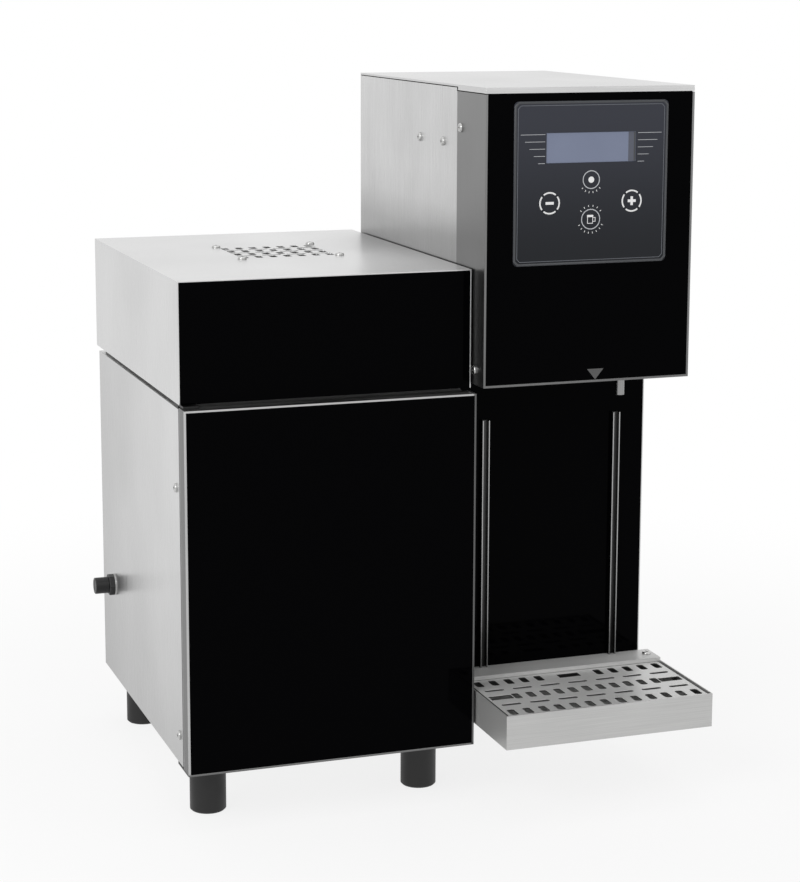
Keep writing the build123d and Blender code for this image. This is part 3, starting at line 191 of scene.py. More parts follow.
# 304 stainless sheet, belt brushed: long hairlines that stretch each reflection along the grain
# real hairlines are about 0.1 mm wide and are drawn about six times coarser so that they show
def brushedStainless(name, light, dark, grain, rough, *paintedLightBands, metal=1.0, level=None):
    material, tree, shader, place = newMaterial(name)
    across, along = 1 / (0.6 * mm), 1 / (70 * mm)
    hair = addNode(tree, "ShaderNodeMapping", None,
                   {"Vector": place, "Scale": [along if axis == grain else across for axis in "XYZ"]})
    lines = addNode(tree, "ShaderNodeTexNoise", None,
                    {"Vector": hair.outputs[0], "Scale": 1.0, "Detail": 3.0, "Roughness": 0.65})
    cloud = addNode(tree, "ShaderNodeTexNoise", None,
                    {"Vector": place, "Scale": 1 / (160 * mm), "Detail": 2.0})
    both = addNode(tree, "ShaderNodeMix", {"data_type": "FLOAT"},
                   {"Factor": 0.4, "A": lines.outputs["Fac"], "B": cloud.outputs["Fac"]})
    spread = addNode(tree, "ShaderNodeMapRange", None, {0: both.outputs["Result"], 1: 0.34, 2: 0.66})
    tone = addNode(tree, "ShaderNodeMix", {"data_type": "RGBA"},
                   {"Factor": spread.outputs[0], "A": paint(dark), "B": paint(light)})
    colour = tone.outputs["Result"]
    parts = addNode(tree, "ShaderNodeSeparateXYZ", None, {0: place})
    for axis, stops in paintedLightBands:  # painted reflection and shade: what the sheet mirrors changes along an axis, and the tone is painted lighter or darker along it: (place in m, share of tone)
        first, last = stops[0][0], stops[-1][0]
        way = addNode(tree, "ShaderNodeMapRange", None, {0: parts.outputs[axis], 1: first, 2: last})
        ramp = addNode(tree, "ShaderNodeValToRGB", None, {0: way.outputs[0]})
        steps = ramp.color_ramp.elements
        steps[0].color = (stops[0][1],) * 3 + (1,)
        steps[1].color = (stops[-1][1],) * 3 + (1,)
        for spot, share in stops[1:-1]:
            steps.new((spot - first) / (last - first)).color = (share, share, share, 1)
        colour = addNode(tree, "ShaderNodeVectorMath", {"operation": "MULTIPLY"},
                         {0: colour, 1: ramp.outputs[0]}).outputs[0]
    if level:  # painted reflection: upward faces mirror the ceiling instead, so their tone is painted at their own share
        facing = addNode(tree, "ShaderNodeSeparateXYZ", None,
                         {0: addNode(tree, "ShaderNodeNewGeometry").outputs["True Normal"]})
        upward = addNode(tree, "ShaderNodeMath", {"operation": "GREATER_THAN"},
                         {0: facing.outputs["Z"], 1: 0.5})
        plain = addNode(tree, "ShaderNodeVectorMath", {"operation": "SCALE"},
                        {0: tone.outputs["Result"], "Scale": level})
        colour = addNode(tree, "ShaderNodeMix", {"data_type": "RGBA"},
                         {"Factor": upward.outputs[0], "A": colour, "B": plain.outputs[0]}).outputs["Result"]
    gloss = addNode(tree, "ShaderNodeMapRange", None,
                    {0: lines.outputs["Fac"], 1: 0.3, 2: 0.7, 3: rough - 0.05, 4: rough + 0.07})
    ridge = addNode(tree, "ShaderNodeBump", None,
                    {"Height": lines.outputs["Fac"], "Strength": 0.10, "Distance": 0.05 * mm})
    for socket, value in (("Base Color", colour), ("Roughness", gloss.outputs[0]),
                          ("Normal", ridge.outputs[0])):
        tree.links.new(value, shader.inputs[socket])
    shader.inputs["Metallic"].default_value = metal
    shader.inputs["Anisotropic"].default_value = 0.5
    return material


panelLow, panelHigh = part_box("side_panel_left")
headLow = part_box("head_cover")[0]
railLow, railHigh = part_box("front_rails")
doorLow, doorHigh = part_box("door_pan")
# painted shade: the cabinet side is darker towards its rear and towards its bottom
sideSteel = brushedStainless("brushed stainless, cabinet side", "#DADADA", "#C4C4C4", "Z", 0.30,
                             ("Y", ((panelLow.y, 1.0), (panelLow.y + 0.1, 0.98), (panelHigh.y, 0.82))),
                             ("Z", ((panelLow.z, 0.8), (panelLow.z + 0.2, 0.97), (panelHigh.z, 1.0))))
hoodSteel = brushedStainless("brushed stainless, hood", "#DADADA", "#C6C6C6", "Z", 0.30)
topSteel = brushedStainless("brushed stainless, level grain", "#DEDEDD", "#C8C8C7", "X", 0.30)
# painted shade: the lid is a darker copy of the level-grain sheet, so that its lit top reads less bright
lidSteel = brushedStainless("brushed stainless, lid", "#D2D2D2", "#C4C4C4", "X", 0.30)
towerSteel = brushedStainless("brushed stainless, tower", "#CECECE", "#B2B2B2", "Z", 0.30)
headShadeBands = {  # painted shade, darker towards the bottom: height over the floor in m, share of tone
    "side": ((0.548, 0.55), (0.572, 0.62), (0.605, 0.9), (0.64, 1.0)),
    "cover": ((headLow.z, 0.72), (0.6, 0.86), (0.73, 1.0)),
}
# painted shade: the head side darkens towards its bottom
headSteel = brushedStainless("brushed stainless, head side", "#DADADA", "#B8B8B8", "Z", 0.30,
                             ("Z", headShadeBands["side"]))
# painted reflection and shade: the head cover is a much darker copy of the stainless for the dark it mirrors,
# and darkens further towards its bottom
coverSteel = brushedStainless("brushed stainless, head cover", "#8E8E8E", "#7A7A7A", "Z", 0.34,
                              ("Z", headShadeBands["cover"]))
traySteel = brushedStainless("satin stainless, tray", "#C8C8C7", "#B4B4B3", "X", 0.36, metal=0.5)
bracketSteel = brushedStainless("satin stainless, bracket", "#D4D4D3", "#C4C4C3", "X", 0.4, metal=0.25)
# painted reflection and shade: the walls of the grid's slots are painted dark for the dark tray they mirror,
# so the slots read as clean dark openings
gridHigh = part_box("drip_grid")[1]
gridSteel = brushedStainless("satin stainless, grid", "#DADAD9", "#CACAC9", "X", 0.38,
                             ("Z", ((gridHigh.z - 0.008, 0.08), (gridHigh.z - 0.0006, 0.1),
                                    (gridHigh.z - 0.0002, 1.0), (gridHigh.z, 1.0))), metal=0.3)
linerSteel = brushedStainless("satin stainless, liner", "#CFCFCE", "#BBBBBA", "Z", 0.36)
# painted highlight and shade: the pan's front lip is painted bright and its side behind it dark, its rear rim
# lighter again, its right and bottom rims dark, and its upward faces take half the tone for the dark they
# mirror
doorSteel = brushedStainless("brushed stainless, door pan", "#C4C4C4", "#B2B2B2", "Z", 0.34,
                             ("Y", ((doorLow.y, 1.0), (doorLow.y + 0.0016, 0.9), (doorLow.y + 0.0026, 0.26),
                                    (doorHigh.y - 0.002, 0.3), (doorHigh.y - 0.001, 0.8),
                                    (doorHigh.y, 0.8))),
                             ("X", ((doorLow.x, 1.0), (doorHigh.x - 0.003, 1.0), (doorHigh.x - 0.0022, 0.25),
                                    (doorHigh.x, 0.2))),
                             ("Z", ((doorLow.z, 0.3), (doorLow.z + 0.0022, 0.4), (doorLow.z + 0.003, 1.0),
                                    (doorHigh.z, 1.0))), level=0.5)
# painted highlight and shade: the rails' front lips are painted bright, the channel behind them dark, and the
# rails darker towards the bottom
railSteel = brushedStainless("drawn stainless, rails", "#C0C0C0", "#A8A8A8", "Z", 0.26,
                             ("Y", ((railLow.y, 1.0), (railLow.y + 0.001, 0.8), (railLow.y + 0.0016, 0.16),
                                    (railHigh.y, 0.12))),
                             ("Z", ((railLow.z, 0.45), (railLow.z + 0.12, 0.9), (railHigh.z, 1.0))))
# painted shade: the spouts are a darker copy of the stainless, for the shading round the tube
tubeSteel = brushedStainless("drawn stainless tube", "#9C9C9C", "#868686", "Z", 0.24)
darkPlate = brushedStainless("black zinc plate", "#3A3A3A", "#2C2C2C", "X", 0.42)

dress(sideSteel, "side_panel_left", "side_panel_right", "cabinet_back", "front_frame")
dress(topSteel, "cabinet_deck", "cabinet_bottom", "head_floor", "tower_base")
dress(lidSteel, "tower_lid")
dress(hoodSteel, "hood_shell")
dress(headSteel, "tower_side_left")
dress(towerSteel, "head_side_right", "column_side_right", "tower_back")
dress(coverSteel, "head_cover")
dress(traySteel, "drip_tray")
dress(bracketSteel, "tray_bracket")
dress(gridSteel, "drip_grid")
dress(linerSteel, "cabinet_liner", "milk_can", "milk_can_lid")
dress(doorSteel, "door_pan")
dress(railSteel, "front_rails")
dress(tubeSteel, "water_spout", "brew_spout")
dress(darkPlate, "hinge_brackets")


# polished stainless: a mirror with faint wheel marks
def polishedStainless():
    material, tree, shader, place = newMaterial("polished stainless")
    marks = addNode(tree, "ShaderNodeTexNoise", None,
                    {"Vector": place, "Scale": 1 / (3 * mm), "Detail": 4.0})
    gloss = addNode(tree, "ShaderNodeMapRange", None,
                    {0: marks.outputs["Fac"], 1: 0.3, 2: 0.7, 3: 0.10, 4: 0.20})
    tree.links.new(gloss.outputs[0], shader.inputs["Roughness"])
    shader.inputs["Base Color"].default_value = paint("#BDBDBC")
    shader.inputs["Metallic"].default_value = 1.0
    return material


# toughened glass painted black behind: deep black with a clean, weak reflection
def blackGlass():
    material, tree, shader, place = newMaterial("black glass")
    film = addNode(tree, "ShaderNodeTexNoise", None,
                   {"Vector": place, "Scale": 1 / (60 * mm), "Detail": 3.0})
    gloss = addNode(tree, "ShaderNodeMapRange", None,
                    {0: film.outputs["Fac"], 1: 0.3, 2: 0.7, 3: 0.04, 4: 0.08})
    tree.links.new(gloss.outputs[0], shader.inputs["Roughness"])
    shader.inputs["Base Color"].default_value = paint("#020203")
    shader.inputs["IOR"].default_value = 1.5
    shader.inputs["Specular IOR Level"].default_value = 0.018
    return material


# moulded plastic or rubber: fine spark-eroded texture, drawn coarser than its real 0.1 mm grain
def moulded(name, colour, rough, grain=0.5, bump=0.15):
    material, tree, shader, place = newMaterial(name)
    pits = addNode(tree, "ShaderNodeTexNoise", None,
                   {"Vector": place, "Scale": 1 / (grain * mm), "Detail": 2.0})
    wear = addNode(tree, "ShaderNodeTexNoise", None,
                   {"Vector": place, "Scale": 1 / (25 * mm), "Detail": 3.0})
    gloss = addNode(tree, "ShaderNodeMapRange", None,
                    {0: wear.outputs["Fac"], 1: 0.3, 2: 0.7, 3: rough - 0.06, 4: rough + 0.06})
    height = addNode(tree, "ShaderNodeBump", None,
                     {"Height": pits.outputs["Fac"], "Strength": bump, "Distance": 0.05 * mm})
    base = paint(colour)
    shade = addNode(tree, "ShaderNodeMix", {"data_type": "RGBA"},
                    {"Factor": wear.outputs["Fac"], "A": (*[0.8 * c for c in base[:3]], 1),
                     "B": (*[min(1.15 * c, 1) for c in base[:3]], 1)})
    tree.links.new(shade.outputs["Result"], shader.inputs["Base Color"])
    tree.links.new(gloss.outputs[0], shader.inputs["Roughness"])
    tree.links.new(height.outputs[0], shader.inputs["Normal"])
    return material


mirrorSteel = polishedStainless()
gloss = blackGlass()
blackPlastic = moulded("black moulded nylon", "#0B0B0C", 0.42)
footRubber = moulded("black moulded rubber foot", "#070707", 0.5)
sealRubber = moulded("grey-black seal rubber", "#1A1A1B", 0.55)
neckRubber = moulded("grey neck trim", "#5E5E5E", 0.5)
whitePlastic = moulded("white acetal", "#D8D8D2", 0.35)
foamCore = moulded("rigid polyurethane foam", "#D9CE9C", 0.9, 1.2, 0.5)
greenBoard = moulded("green solder mask", "#0E3B22", 0.3)
silicone = moulded("milky silicone hose", "#CFCFC8", 0.4)
castAluminium = brushedStainless("extruded aluminium", "#D0D2D4", "#BFC1C3", "Z", 0.35)
ceramic = moulded("white ceramic", "#E2E2DD", 0.45)
turnedBrass = brushedStainless("turned brass", "#C9A55C", "#B08C48", "Y", 0.25)

dress(mirrorSteel, "pan_screws", "fuse_washer", "boiler_tank", "heating_element")
dress(gloss, "door_glass", "hood_front_panel", "head_glass", "column_front")
dress(blackPlastic, "fan_frame", "fan_rotor", "fuse_body", "fuse_nut", "fuse_cap", "milk_pump",
      "hot_water_valve", "power_inlet")
dress(footRubber, "feet")
dress(sealRubber, "door_gasket")
dress(neckRubber, "hood_neck")
dress(whitePlastic, "pump_rotor")
dress(foamCore, "foam_insulation", "door_core")
dress(greenBoard, "control_board")
dress(silicone, "hoses")
dress(castAluminium, "heat_sink", "cold_block")
dress(ceramic, "thermoelectric_module")
dress(turnedBrass, "water_inlet")


# printed polyester film over the keys: satin, a little lighter towards its top
filmSet = {"top": "#393B43", "bottom": "#1F2125", "edge": "#3C3E42", "line": "#74777D", "rough": 0.38}
overlayLow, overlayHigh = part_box("panel_overlay")


def printedFilm(s):
    material, tree, shader, place = newMaterial("printed polyester film")
    parts = addNode(tree, "ShaderNodeSeparateXYZ", None, {0: place})
    way = addNode(tree, "ShaderNodeMapRange", {"interpolation_type": "SMOOTHSTEP"},
                  {0: parts.outputs["Z"], 1: overlayLow.z, 2: overlayHigh.z})
    tone = addNode(tree, "ShaderNodeMix", {"data_type": "RGBA"},
                   {"Factor": way.outputs[0], "A": paint(s["bottom"]), "B": paint(s["top"])})
    dust = addNode(tree, "ShaderNodeTexNoise", None,
                   {"Vector": place, "Scale": 1 / (0.6 * mm), "Detail": 2.0})
    ridge = addNode(tree, "ShaderNodeBump", None,
                    {"Height": dust.outputs["Fac"], "Strength": 0.06, "Distance": 0.03 * mm})
    tree.links.new(tone.outputs["Result"], shader.inputs["Base Color"])
    tree.links.new(ridge.outputs[0], shader.inputs["Normal"])
    shader.inputs["Roughness"].default_value = s["rough"]
    shader.inputs["Specular IOR Level"].default_value = 0.15
    return material


def ink(name, colour):  # screen-printed ink: flat and dull, with a trace of mesh in its gloss
    material, tree, shader, place = newMaterial(name)
    weave = addNode(tree, "ShaderNodeTexNoise", None,
                    {"Vector": place, "Scale": 1 / (0.4 * mm), "Detail": 1.0})
    dull = addNode(tree, "ShaderNodeMapRange", None,
                   {0: weave.outputs["Fac"], 1: 0.3, 2: 0.7, 3: 0.45, 4: 0.6})
    tree.links.new(dull.outputs[0], shader.inputs["Roughness"])
    shader.inputs["Base Color"].default_value = paint(colour)
    shader.inputs["Specular IOR Level"].default_value = 0.2
    return material


film = printedFilm(filmSet)
whiteInk = ink("white screen ink", "#F0F0F0")
greyInk = ink("grey screen ink", "#C2C4C8")
lineInk = ink("border ink", filmSet["line"])
markInk = ink("dark grey mark", "#5A5A5A")
filmEdge = moulded("film edge", filmSet["edge"], 0.4)
keyNames = ("key_status", "key_minus", "key_plus", "key_dispense")
dress(film, "panel_overlay", *keyNames)
print("finishes ready")


# weld each CAD sheet and break its sharp edges, so that they catch the light as real ones do
edgeSet = {
    "sheet": (0.30, ("side_panel_left", "side_panel_right", "cabinet_back", "cabinet_deck", "cabinet_bottom",
                     "hood_shell", "door_pan", "tower_lid", "head_cover", "tower_side_left",
                     "head_side_right", "column_side_right", "tower_back", "drip_tray", "tray_bracket",
                     "drip_grid", "hinge_brackets", "front_rails", "milk_can_lid")),
    "panel": (0.45, ("door_glass", "hood_front_panel", "head_glass", "column_front", "hood_neck")),
    "small": (0.25, ("panel_overlay", "fuse_nut", "fuse_washer", "power_inlet", "water_spout",
                     "display_module", "heat_sink", "fan_frame", "hot_water_valve")),
}


def longEdgeTree(shortest, leastAngle):  # weights long sharp edges for the bevel, so holes stay as cut
    tree = bpy.data.node_groups.new("longEdges", "GeometryNodeTree")
    for way in ("INPUT", "OUTPUT"):
        tree.interface.new_socket("Geometry", in_out=way, socket_type="NodeSocketGeometry")
    ends = addNode(tree, "GeometryNodeInputMeshEdgeVertices").outputs
    span = addNode(tree, "ShaderNodeVectorMath", {"operation": "DISTANCE"},
                   {0: ends["Position 1"], 1: ends["Position 2"]})
    farEnough = addNode(tree, "ShaderNodeMath", {"operation": "GREATER_THAN"},
                        {0: span.outputs["Value"], 1: shortest * mm})
    bend = addNode(tree, "GeometryNodeInputMeshEdgeAngle").outputs["Unsigned Angle"]
    sharp = addNode(tree, "ShaderNodeMath", {"operation": "GREATER_THAN"},
                    {0: bend, 1: math.radians(leastAngle)})
    weight = addNode(tree, "ShaderNodeMath", {"operation": "MULTIPLY"},
                     {0: farEnough.outputs[0], 1: sharp.outputs[0]})
    marked = addNode(tree, "GeometryNodeStoreNamedAttribute", {"data_type": "FLOAT", "domain": "EDGE"},
                     {"Geometry": addNode(tree, "NodeGroupInput").outputs[0],
                      "Name": "bevel_weight_edge", "Value": weight.outputs[0]})
    output = addNode(tree, "NodeGroupOutput")
    tree.links.new(marked.outputs[0], output.inputs[0])
    return tree


longEdgeSet = {"shortest": 3.4, "leastAngle": 40}  # mm, and degrees between the faces
longEdges = longEdgeTree(longEdgeSet["shortest"], longEdgeSet["leastAngle"])


def breakEdges(name, width):
    node = nodes[name]
    weld = node.modifiers.new("weld", "WELD")
    weld.merge_threshold = 0.002 * mm
    marks = node.modifiers.new("marks", "NODES")
    marks.node_group = longEdges
    bevel = node.modifiers.new("edge", "BEVEL")
    bevel.width = width * mm
    bevel.segments = 2
    bevel.limit_method = "WEIGHT"
    bevel.use_clamp_overlap = True
    bevel.harden_normals = True


for width, names in edgeSet.values():
    for name in names:
        breakEdges(name, width)
print("edges broken")


# pieces made here: a mesh from a node tree, turned to its face and put in its place
def inputSocket(tree, name, kind, value):
    socket = tree.interface.new_socket(name, in_out="INPUT", socket_type=kind)
    if value is not None:
        socket.default_value = value
    return socket.identifier


def startTree(name, sizes):  # sizes: input name to (kind, value)
    tree = bpy.data.node_groups.new(name, "GeometryNodeTree")
    tree.interface.new_socket("Geometry", in_out="OUTPUT", socket_type="NodeSocketGeometry")
    keys = {label: inputSocket(tree, label, kind, value) for label, (kind, value) in sizes.items()}
    return tree, addNode(tree, "NodeGroupInput").outputs, keys


def endTree(tree, geometry):
    real = addNode(tree, "GeometryNodeRealizeInstances", None, {0: geometry})
    finish = addNode(tree, "GeometryNodeSetMaterial", None, {0: real.outputs[0]})
    materialIn = addNode(tree, "NodeGroupInput").outputs["Material"]
    tree.links.new(materialIn, finish.inputs["Material"])
    output = addNode(tree, "NodeGroupOutput")
    tree.links.new(finish.outputs[0], output.inputs[0])


def makePiece(name, treeAndKeys, values, place, body, material):
    tree, keys = treeAndKeys
    seed = bpy.data.objects.new(name + "Seed", bpy.data.meshes.new(name + "Seed"))
    bpy.context.scene.collection.objects.link(seed)
    modifier = seed.modifiers.new("make", "NODES")
    modifier.node_group = tree
    for label, value in {**values, "Material": material}.items():
        modifier[keys[label]] = value
    depsgraph = bpy.context.evaluated_depsgraph_get()
    mesh = bpy.data.meshes.new_from_object(seed.evaluated_get(depsgraph))
    bpy.data.objects.remove(seed)
    mesh.name = name
    mesh.transform(place)
    piece = bpy.data.objects.new(name, mesh)
    bpy.context.scene.collection.objects.link(piece)
    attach(piece, body)
    return piece


def onFront(x, y, z):  # drawn in X and Y, laid on a front face with its depth towards the viewer
    return Matrix.Translation((x, y, z)) @ Matrix.Rotation(math.radians(90), 4, "X")


def arcTree():  # a circle, or equal arcs of one, as a flat band
    tree, given, keys = startTree("arcBands", {
        "Radius": ("NodeSocketFloat", 0.01), "Band": ("NodeSocketFloat", 0.001),
        "Depth": ("NodeSocketFloat", 0.0001), "Arcs": ("NodeSocketInt", 1),
        "Sweep": ("NodeSocketFloat", 1.0), "Material": ("NodeSocketMaterial", None)})
    half = addNode(tree, "ShaderNodeMath", {"operation": "MULTIPLY"}, {0: given["Sweep"], 1: -0.5})
    arc = addNode(tree, "GeometryNodeCurveArc", None,
                  {"Resolution": 64, "Radius": given["Radius"], "Start Angle": half.outputs[0],
                   "Sweep Angle": given["Sweep"]})
    seats = addNode(tree, "GeometryNodeMeshLine", None, {"Count": given["Arcs"], "Offset": (0, 0, 0)})
    share = addNode(tree, "ShaderNodeMath", {"operation": "DIVIDE"}, {0: math.tau, 1: given["Arcs"]})
    turn = addNode(tree, "ShaderNodeMath", {"operation": "MULTIPLY"},
                   {0: addNode(tree, "GeometryNodeInputIndex").outputs[0], 1: share.outputs[0]})
    spin = addNode(tree, "ShaderNodeCombineXYZ", None, {"Z": turn.outputs[0]})
    copies = addNode(tree, "GeometryNodeInstanceOnPoints", None,
                     {"Points": seats.outputs[0], "Instance": arc.outputs[0], "Rotation": spin.outputs[0]})
    real = addNode(tree, "GeometryNodeRealizeInstances", None, {0: copies.outputs[0]})
    profile = addNode(tree, "GeometryNodeCurvePrimitiveQuadrilateral", None,
                      {"Width": given["Band"], "Height": given["Depth"]})
    band = addNode(tree, "GeometryNodeCurveToMesh", None,
                   {"Curve": real.outputs[0], "Profile Curve": profile.outputs[0], "Fill Caps": True})
    endTree(tree, band.outputs[0])
    return tree, keys


def tickTree():  # short bars spread along an arc, each square to it
    tree, given, keys = startTree("tickArc", {
        "Radius": ("NodeSocketFloat", 0.01), "Start": ("NodeSocketFloat", 0.0),
        "Sweep": ("NodeSocketFloat", 1.0), "Ticks": ("NodeSocketInt", 5),
        "Width": ("NodeSocketFloat", 0.0005), "Length": ("NodeSocketFloat", 0.001),
        "Depth": ("NodeSocketFloat", 0.0001), "Material": ("NodeSocketMaterial", None)})
    gaps = addNode(tree, "ShaderNodeMath", {"operation": "SUBTRACT"}, {0: given["Ticks"], 1: 1.0})
    step = addNode(tree, "ShaderNodeMath", {"operation": "DIVIDE"}, {0: given["Sweep"], 1: gaps.outputs[0]})
    angle = addNode(tree, "ShaderNodeMath", {"operation": "MULTIPLY_ADD"},
                    {0: addNode(tree, "GeometryNodeInputIndex").outputs[0], 1: step.outputs[0],
                     2: given["Start"]})
    across = addNode(tree, "ShaderNodeMath", {"operation": "COSINE"}, {0: angle.outputs[0]})
    rise = addNode(tree, "ShaderNodeMath", {"operation": "SINE"}, {0: angle.outputs[0]})
    way = addNode(tree, "ShaderNodeCombineXYZ", None, {"X": across.outputs[0], "Y": rise.outputs[0]})
    spot = addNode(tree, "ShaderNodeVectorMath", {"operation": "SCALE"},
                   {0: way.outputs[0], "Scale": given["Radius"]})
    seats = addNode(tree, "GeometryNodeMeshLine", None, {"Count": given["Ticks"], "Offset": (0, 0, 0)})
    moved = addNode(tree, "GeometryNodeSetPosition", None,
                    {"Geometry": seats.outputs[0], "Position": spot.outputs[0]})
    spin = addNode(tree, "ShaderNodeCombineXYZ", None, {"Z": angle.outputs[0]})
    size = addNode(tree, "ShaderNodeCombineXYZ", None,
                   {"X": given["Length"], "Y": given["Width"], "Z": given["Depth"]})
    bar = addNode(tree, "GeometryNodeMeshCube", None, {"Size": size.outputs[0]})
    copies = addNode(tree, "GeometryNodeInstanceOnPoints", None,
                     {"Points": moved.outputs[0], "Instance": bar.outputs[0], "Rotation": spin.outputs[0]})
    endTree(tree, copies.outputs[0])
    return tree, keys


def rayTree():  # level lines under each other, each shorter than the one above by a step
    tree, given, keys = startTree("shorteningLines", {
        "Rows": ("NodeSocketInt", 5), "Pitch": ("NodeSocketFloat", 0.006),
        "Longest": ("NodeSocketFloat", 0.026), "Step": ("NodeSocketFloat", 0.005),
        "Thick": ("NodeSocketFloat", 0.0005), "Depth": ("NodeSocketFloat", 0.0001),
        "Side": ("NodeSocketFloat", 1.0), "Material": ("NodeSocketMaterial", None)})
    row = addNode(tree, "GeometryNodeInputIndex").outputs[0]
    less = addNode(tree, "ShaderNodeMath", {"operation": "MULTIPLY"}, {0: row, 1: given["Step"]})
    size = addNode(tree, "ShaderNodeMath", {"operation": "SUBTRACT"},
                   {0: given["Longest"], 1: less.outputs[0]})
    middle = addNode(tree, "ShaderNodeMath", {"operation": "MULTIPLY"}, {0: size.outputs[0], 1: 0.5})
    sideways = addNode(tree, "ShaderNodeMath", {"operation": "MULTIPLY"},
                       {0: middle.outputs[0], 1: given["Side"]})
    drop = addNode(tree, "ShaderNodeMath", {"operation": "MULTIPLY"}, {0: row, 1: given["Pitch"]})
    down = addNode(tree, "ShaderNodeMath", {"operation": "MULTIPLY"}, {0: drop.outputs[0], 1: -1.0})
    spot = addNode(tree, "ShaderNodeCombineXYZ", None, {"X": sideways.outputs[0], "Y": down.outputs[0]})
    seats = addNode(tree, "GeometryNodeMeshLine", None, {"Count": given["Rows"], "Offset": (0, 0, 0)})
    moved = addNode(tree, "GeometryNodeSetPosition", None,
                    {"Geometry": seats.outputs[0], "Position": spot.outputs[0]})
    stretch = addNode(tree, "ShaderNodeCombineXYZ", None,
                      {"X": size.outputs[0], "Y": given["Thick"], "Z": given["Depth"]})
    bar = addNode(tree, "GeometryNodeMeshCube", None, {"Size": (1, 1, 1)})
    copies = addNode(tree, "GeometryNodeInstanceOnPoints", None,
                     {"Points": moved.outputs[0], "Instance": bar.outputs[0], "Scale": stretch.outputs[0]})
    endTree(tree, copies.outputs[0])
    return tree, keys


def borderTree():  # a band round a rectangle with its corners cut across
    tree, given, keys = startTree("roundedBorder", {
        "Width": ("NodeSocketFloat", 0.1), "Height": ("NodeSocketFloat", 0.1),
        "Corner": ("NodeSocketFloat", 0.005), "Band": ("NodeSocketFloat", 0.001),
        "Depth": ("NodeSocketFloat", 0.0001), "Material": ("NodeSocketMaterial", None)})
    frameCurve = addNode(tree, "GeometryNodeCurvePrimitiveQuadrilateral", None,
                         {"Width": given["Width"], "Height": given["Height"]})
    rounded = addNode(tree, "GeometryNodeFilletCurve", {"mode": "POLY"},
                      {"Curve": frameCurve.outputs[0], "Radius": given["Corner"],
                       "Limit Radius": True})
    profile = addNode(tree, "GeometryNodeCurvePrimitiveQuadrilateral", None,
                      {"Width": given["Band"], "Height": given["Depth"]})
    band = addNode(tree, "GeometryNodeCurveToMesh", None,
                   {"Curve": rounded.outputs[0], "Profile Curve": profile.outputs[0]})
    endTree(tree, band.outputs[0])
    return tree, keys


arcs, ticks, rays, borders = arcTree(), tickTree(), rayTree(), borderTree()

# prints on the control panel
panelSet = {
    "printDepth": 0.08,
    "borderInset": 4.2,
    "borderLine": 0.55,
    "rimBand": 2.6,
    "rimDepth": 0.35,
    "corner": 5.0,
    "ringBand": 0.95,
    "arcBand": 1.6,
    "arcSweep": 76,
    "rayRows": 5,
    "rayPitch": 7.1,
    "rayLongest": 26.0,
    "rayStep": 4.7,
    "rayThick": 0.45,
    "rayGap": 1.6,  # from the window's edge to the lines beside it
    "rayDrop": 1.5,  # from the window's top to the first line
    "lineCorner": 3.0,
}
overlayMiddle = (overlayLow + overlayHigh) / 2
overlayFace = overlayLow.y
printY = overlayFace - panelSet["printDepth"] * mm / 2
wide, tall = (overlayHigh.x - overlayLow.x), (overlayHigh.z - overlayLow.z)
inset = 2 * panelSet["borderInset"] * mm
makePiece("panelBorderLine", borders,
          {"Width": wide - inset, "Height": tall - inset, "Corner": panelSet["lineCorner"] * mm,
           "Band": panelSet["borderLine"] * mm, "Depth": panelSet["printDepth"] * mm},
          onFront(overlayMiddle.x, printY, overlayMiddle.z), "housing", lineInk)
rim = panelSet["rimBand"] * mm
makePiece("panelRim", borders,
          {"Width": wide - rim, "Height": tall - rim, "Corner": panelSet["corner"] * mm - rim / 2,
           "Band": rim, "Depth": panelSet["rimDepth"] * mm},
          onFront(overlayMiddle.x, overlayFace - panelSet["rimDepth"] * mm / 2, overlayMiddle.z),
          "housing", filmEdge)

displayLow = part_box("display_module")[0]
windowSet = {"width": 97.0, "height": 30.0, "top": 251.4}
windowTop = headLow.z + windowSet["top"] * mm
for side, edge in ((-1, overlayMiddle.x - windowSet["width"] / 2 * mm),
                   (1, overlayMiddle.x + windowSet["width"] / 2 * mm)):
    makePiece("panelLines" + ("Left" if side < 0 else "Right"), rays,
              {"Rows": panelSet["rayRows"], "Pitch": panelSet["rayPitch"] * mm,
               "Longest": panelSet["rayLongest"] * mm, "Step": panelSet["rayStep"] * mm,
               "Thick": panelSet["rayThick"] * mm, "Depth": panelSet["printDepth"] * mm, "Side": float(side)},
              onFront(edge + side * panelSet["rayGap"] * mm, printY, windowTop - panelSet["rayDrop"] * mm),
              "housing", greyInk)


def flatPiece(name, outlines, depth, place, body, material):  # closed outlines in X and Y
    mesh = bpy.data.meshes.new(name)
    shape = bmesh.new()
    for outline in outlines:
        corners = [shape.verts.new((x * mm, y * mm, 0)) for x, y in outline]
        face = shape.faces.new(corners)
        moved = bmesh.ops.extrude_face_region(shape, geom=[face])["geom"]
        bmesh.ops.translate(shape, vec=(0, 0, depth * mm),
                            verts=[v for v in moved if isinstance(v, bmesh.types.BMVert)])
    bmesh.ops.recalc_face_normals(shape, faces=shape.faces)
    shape.to_mesh(mesh)
    shape.free()
    mesh.transform(place)
    mesh.materials.append(material)
    piece = bpy.data.objects.new(name, mesh)
    bpy.context.scene.collection.objects.link(piece)
    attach(piece, body)
    return piece


def rectangle(x, y, width, height):
    return [(x - width / 2, y - height / 2), (x + width / 2, y - height / 2),
            (x + width / 2, y + height / 2), (x - width / 2, y + height / 2)]


def circle(radius, count=40):
    return [(radius * math.cos(math.tau * i / count), radius * math.sin(math.tau * i / count))
            for i in range(count)]


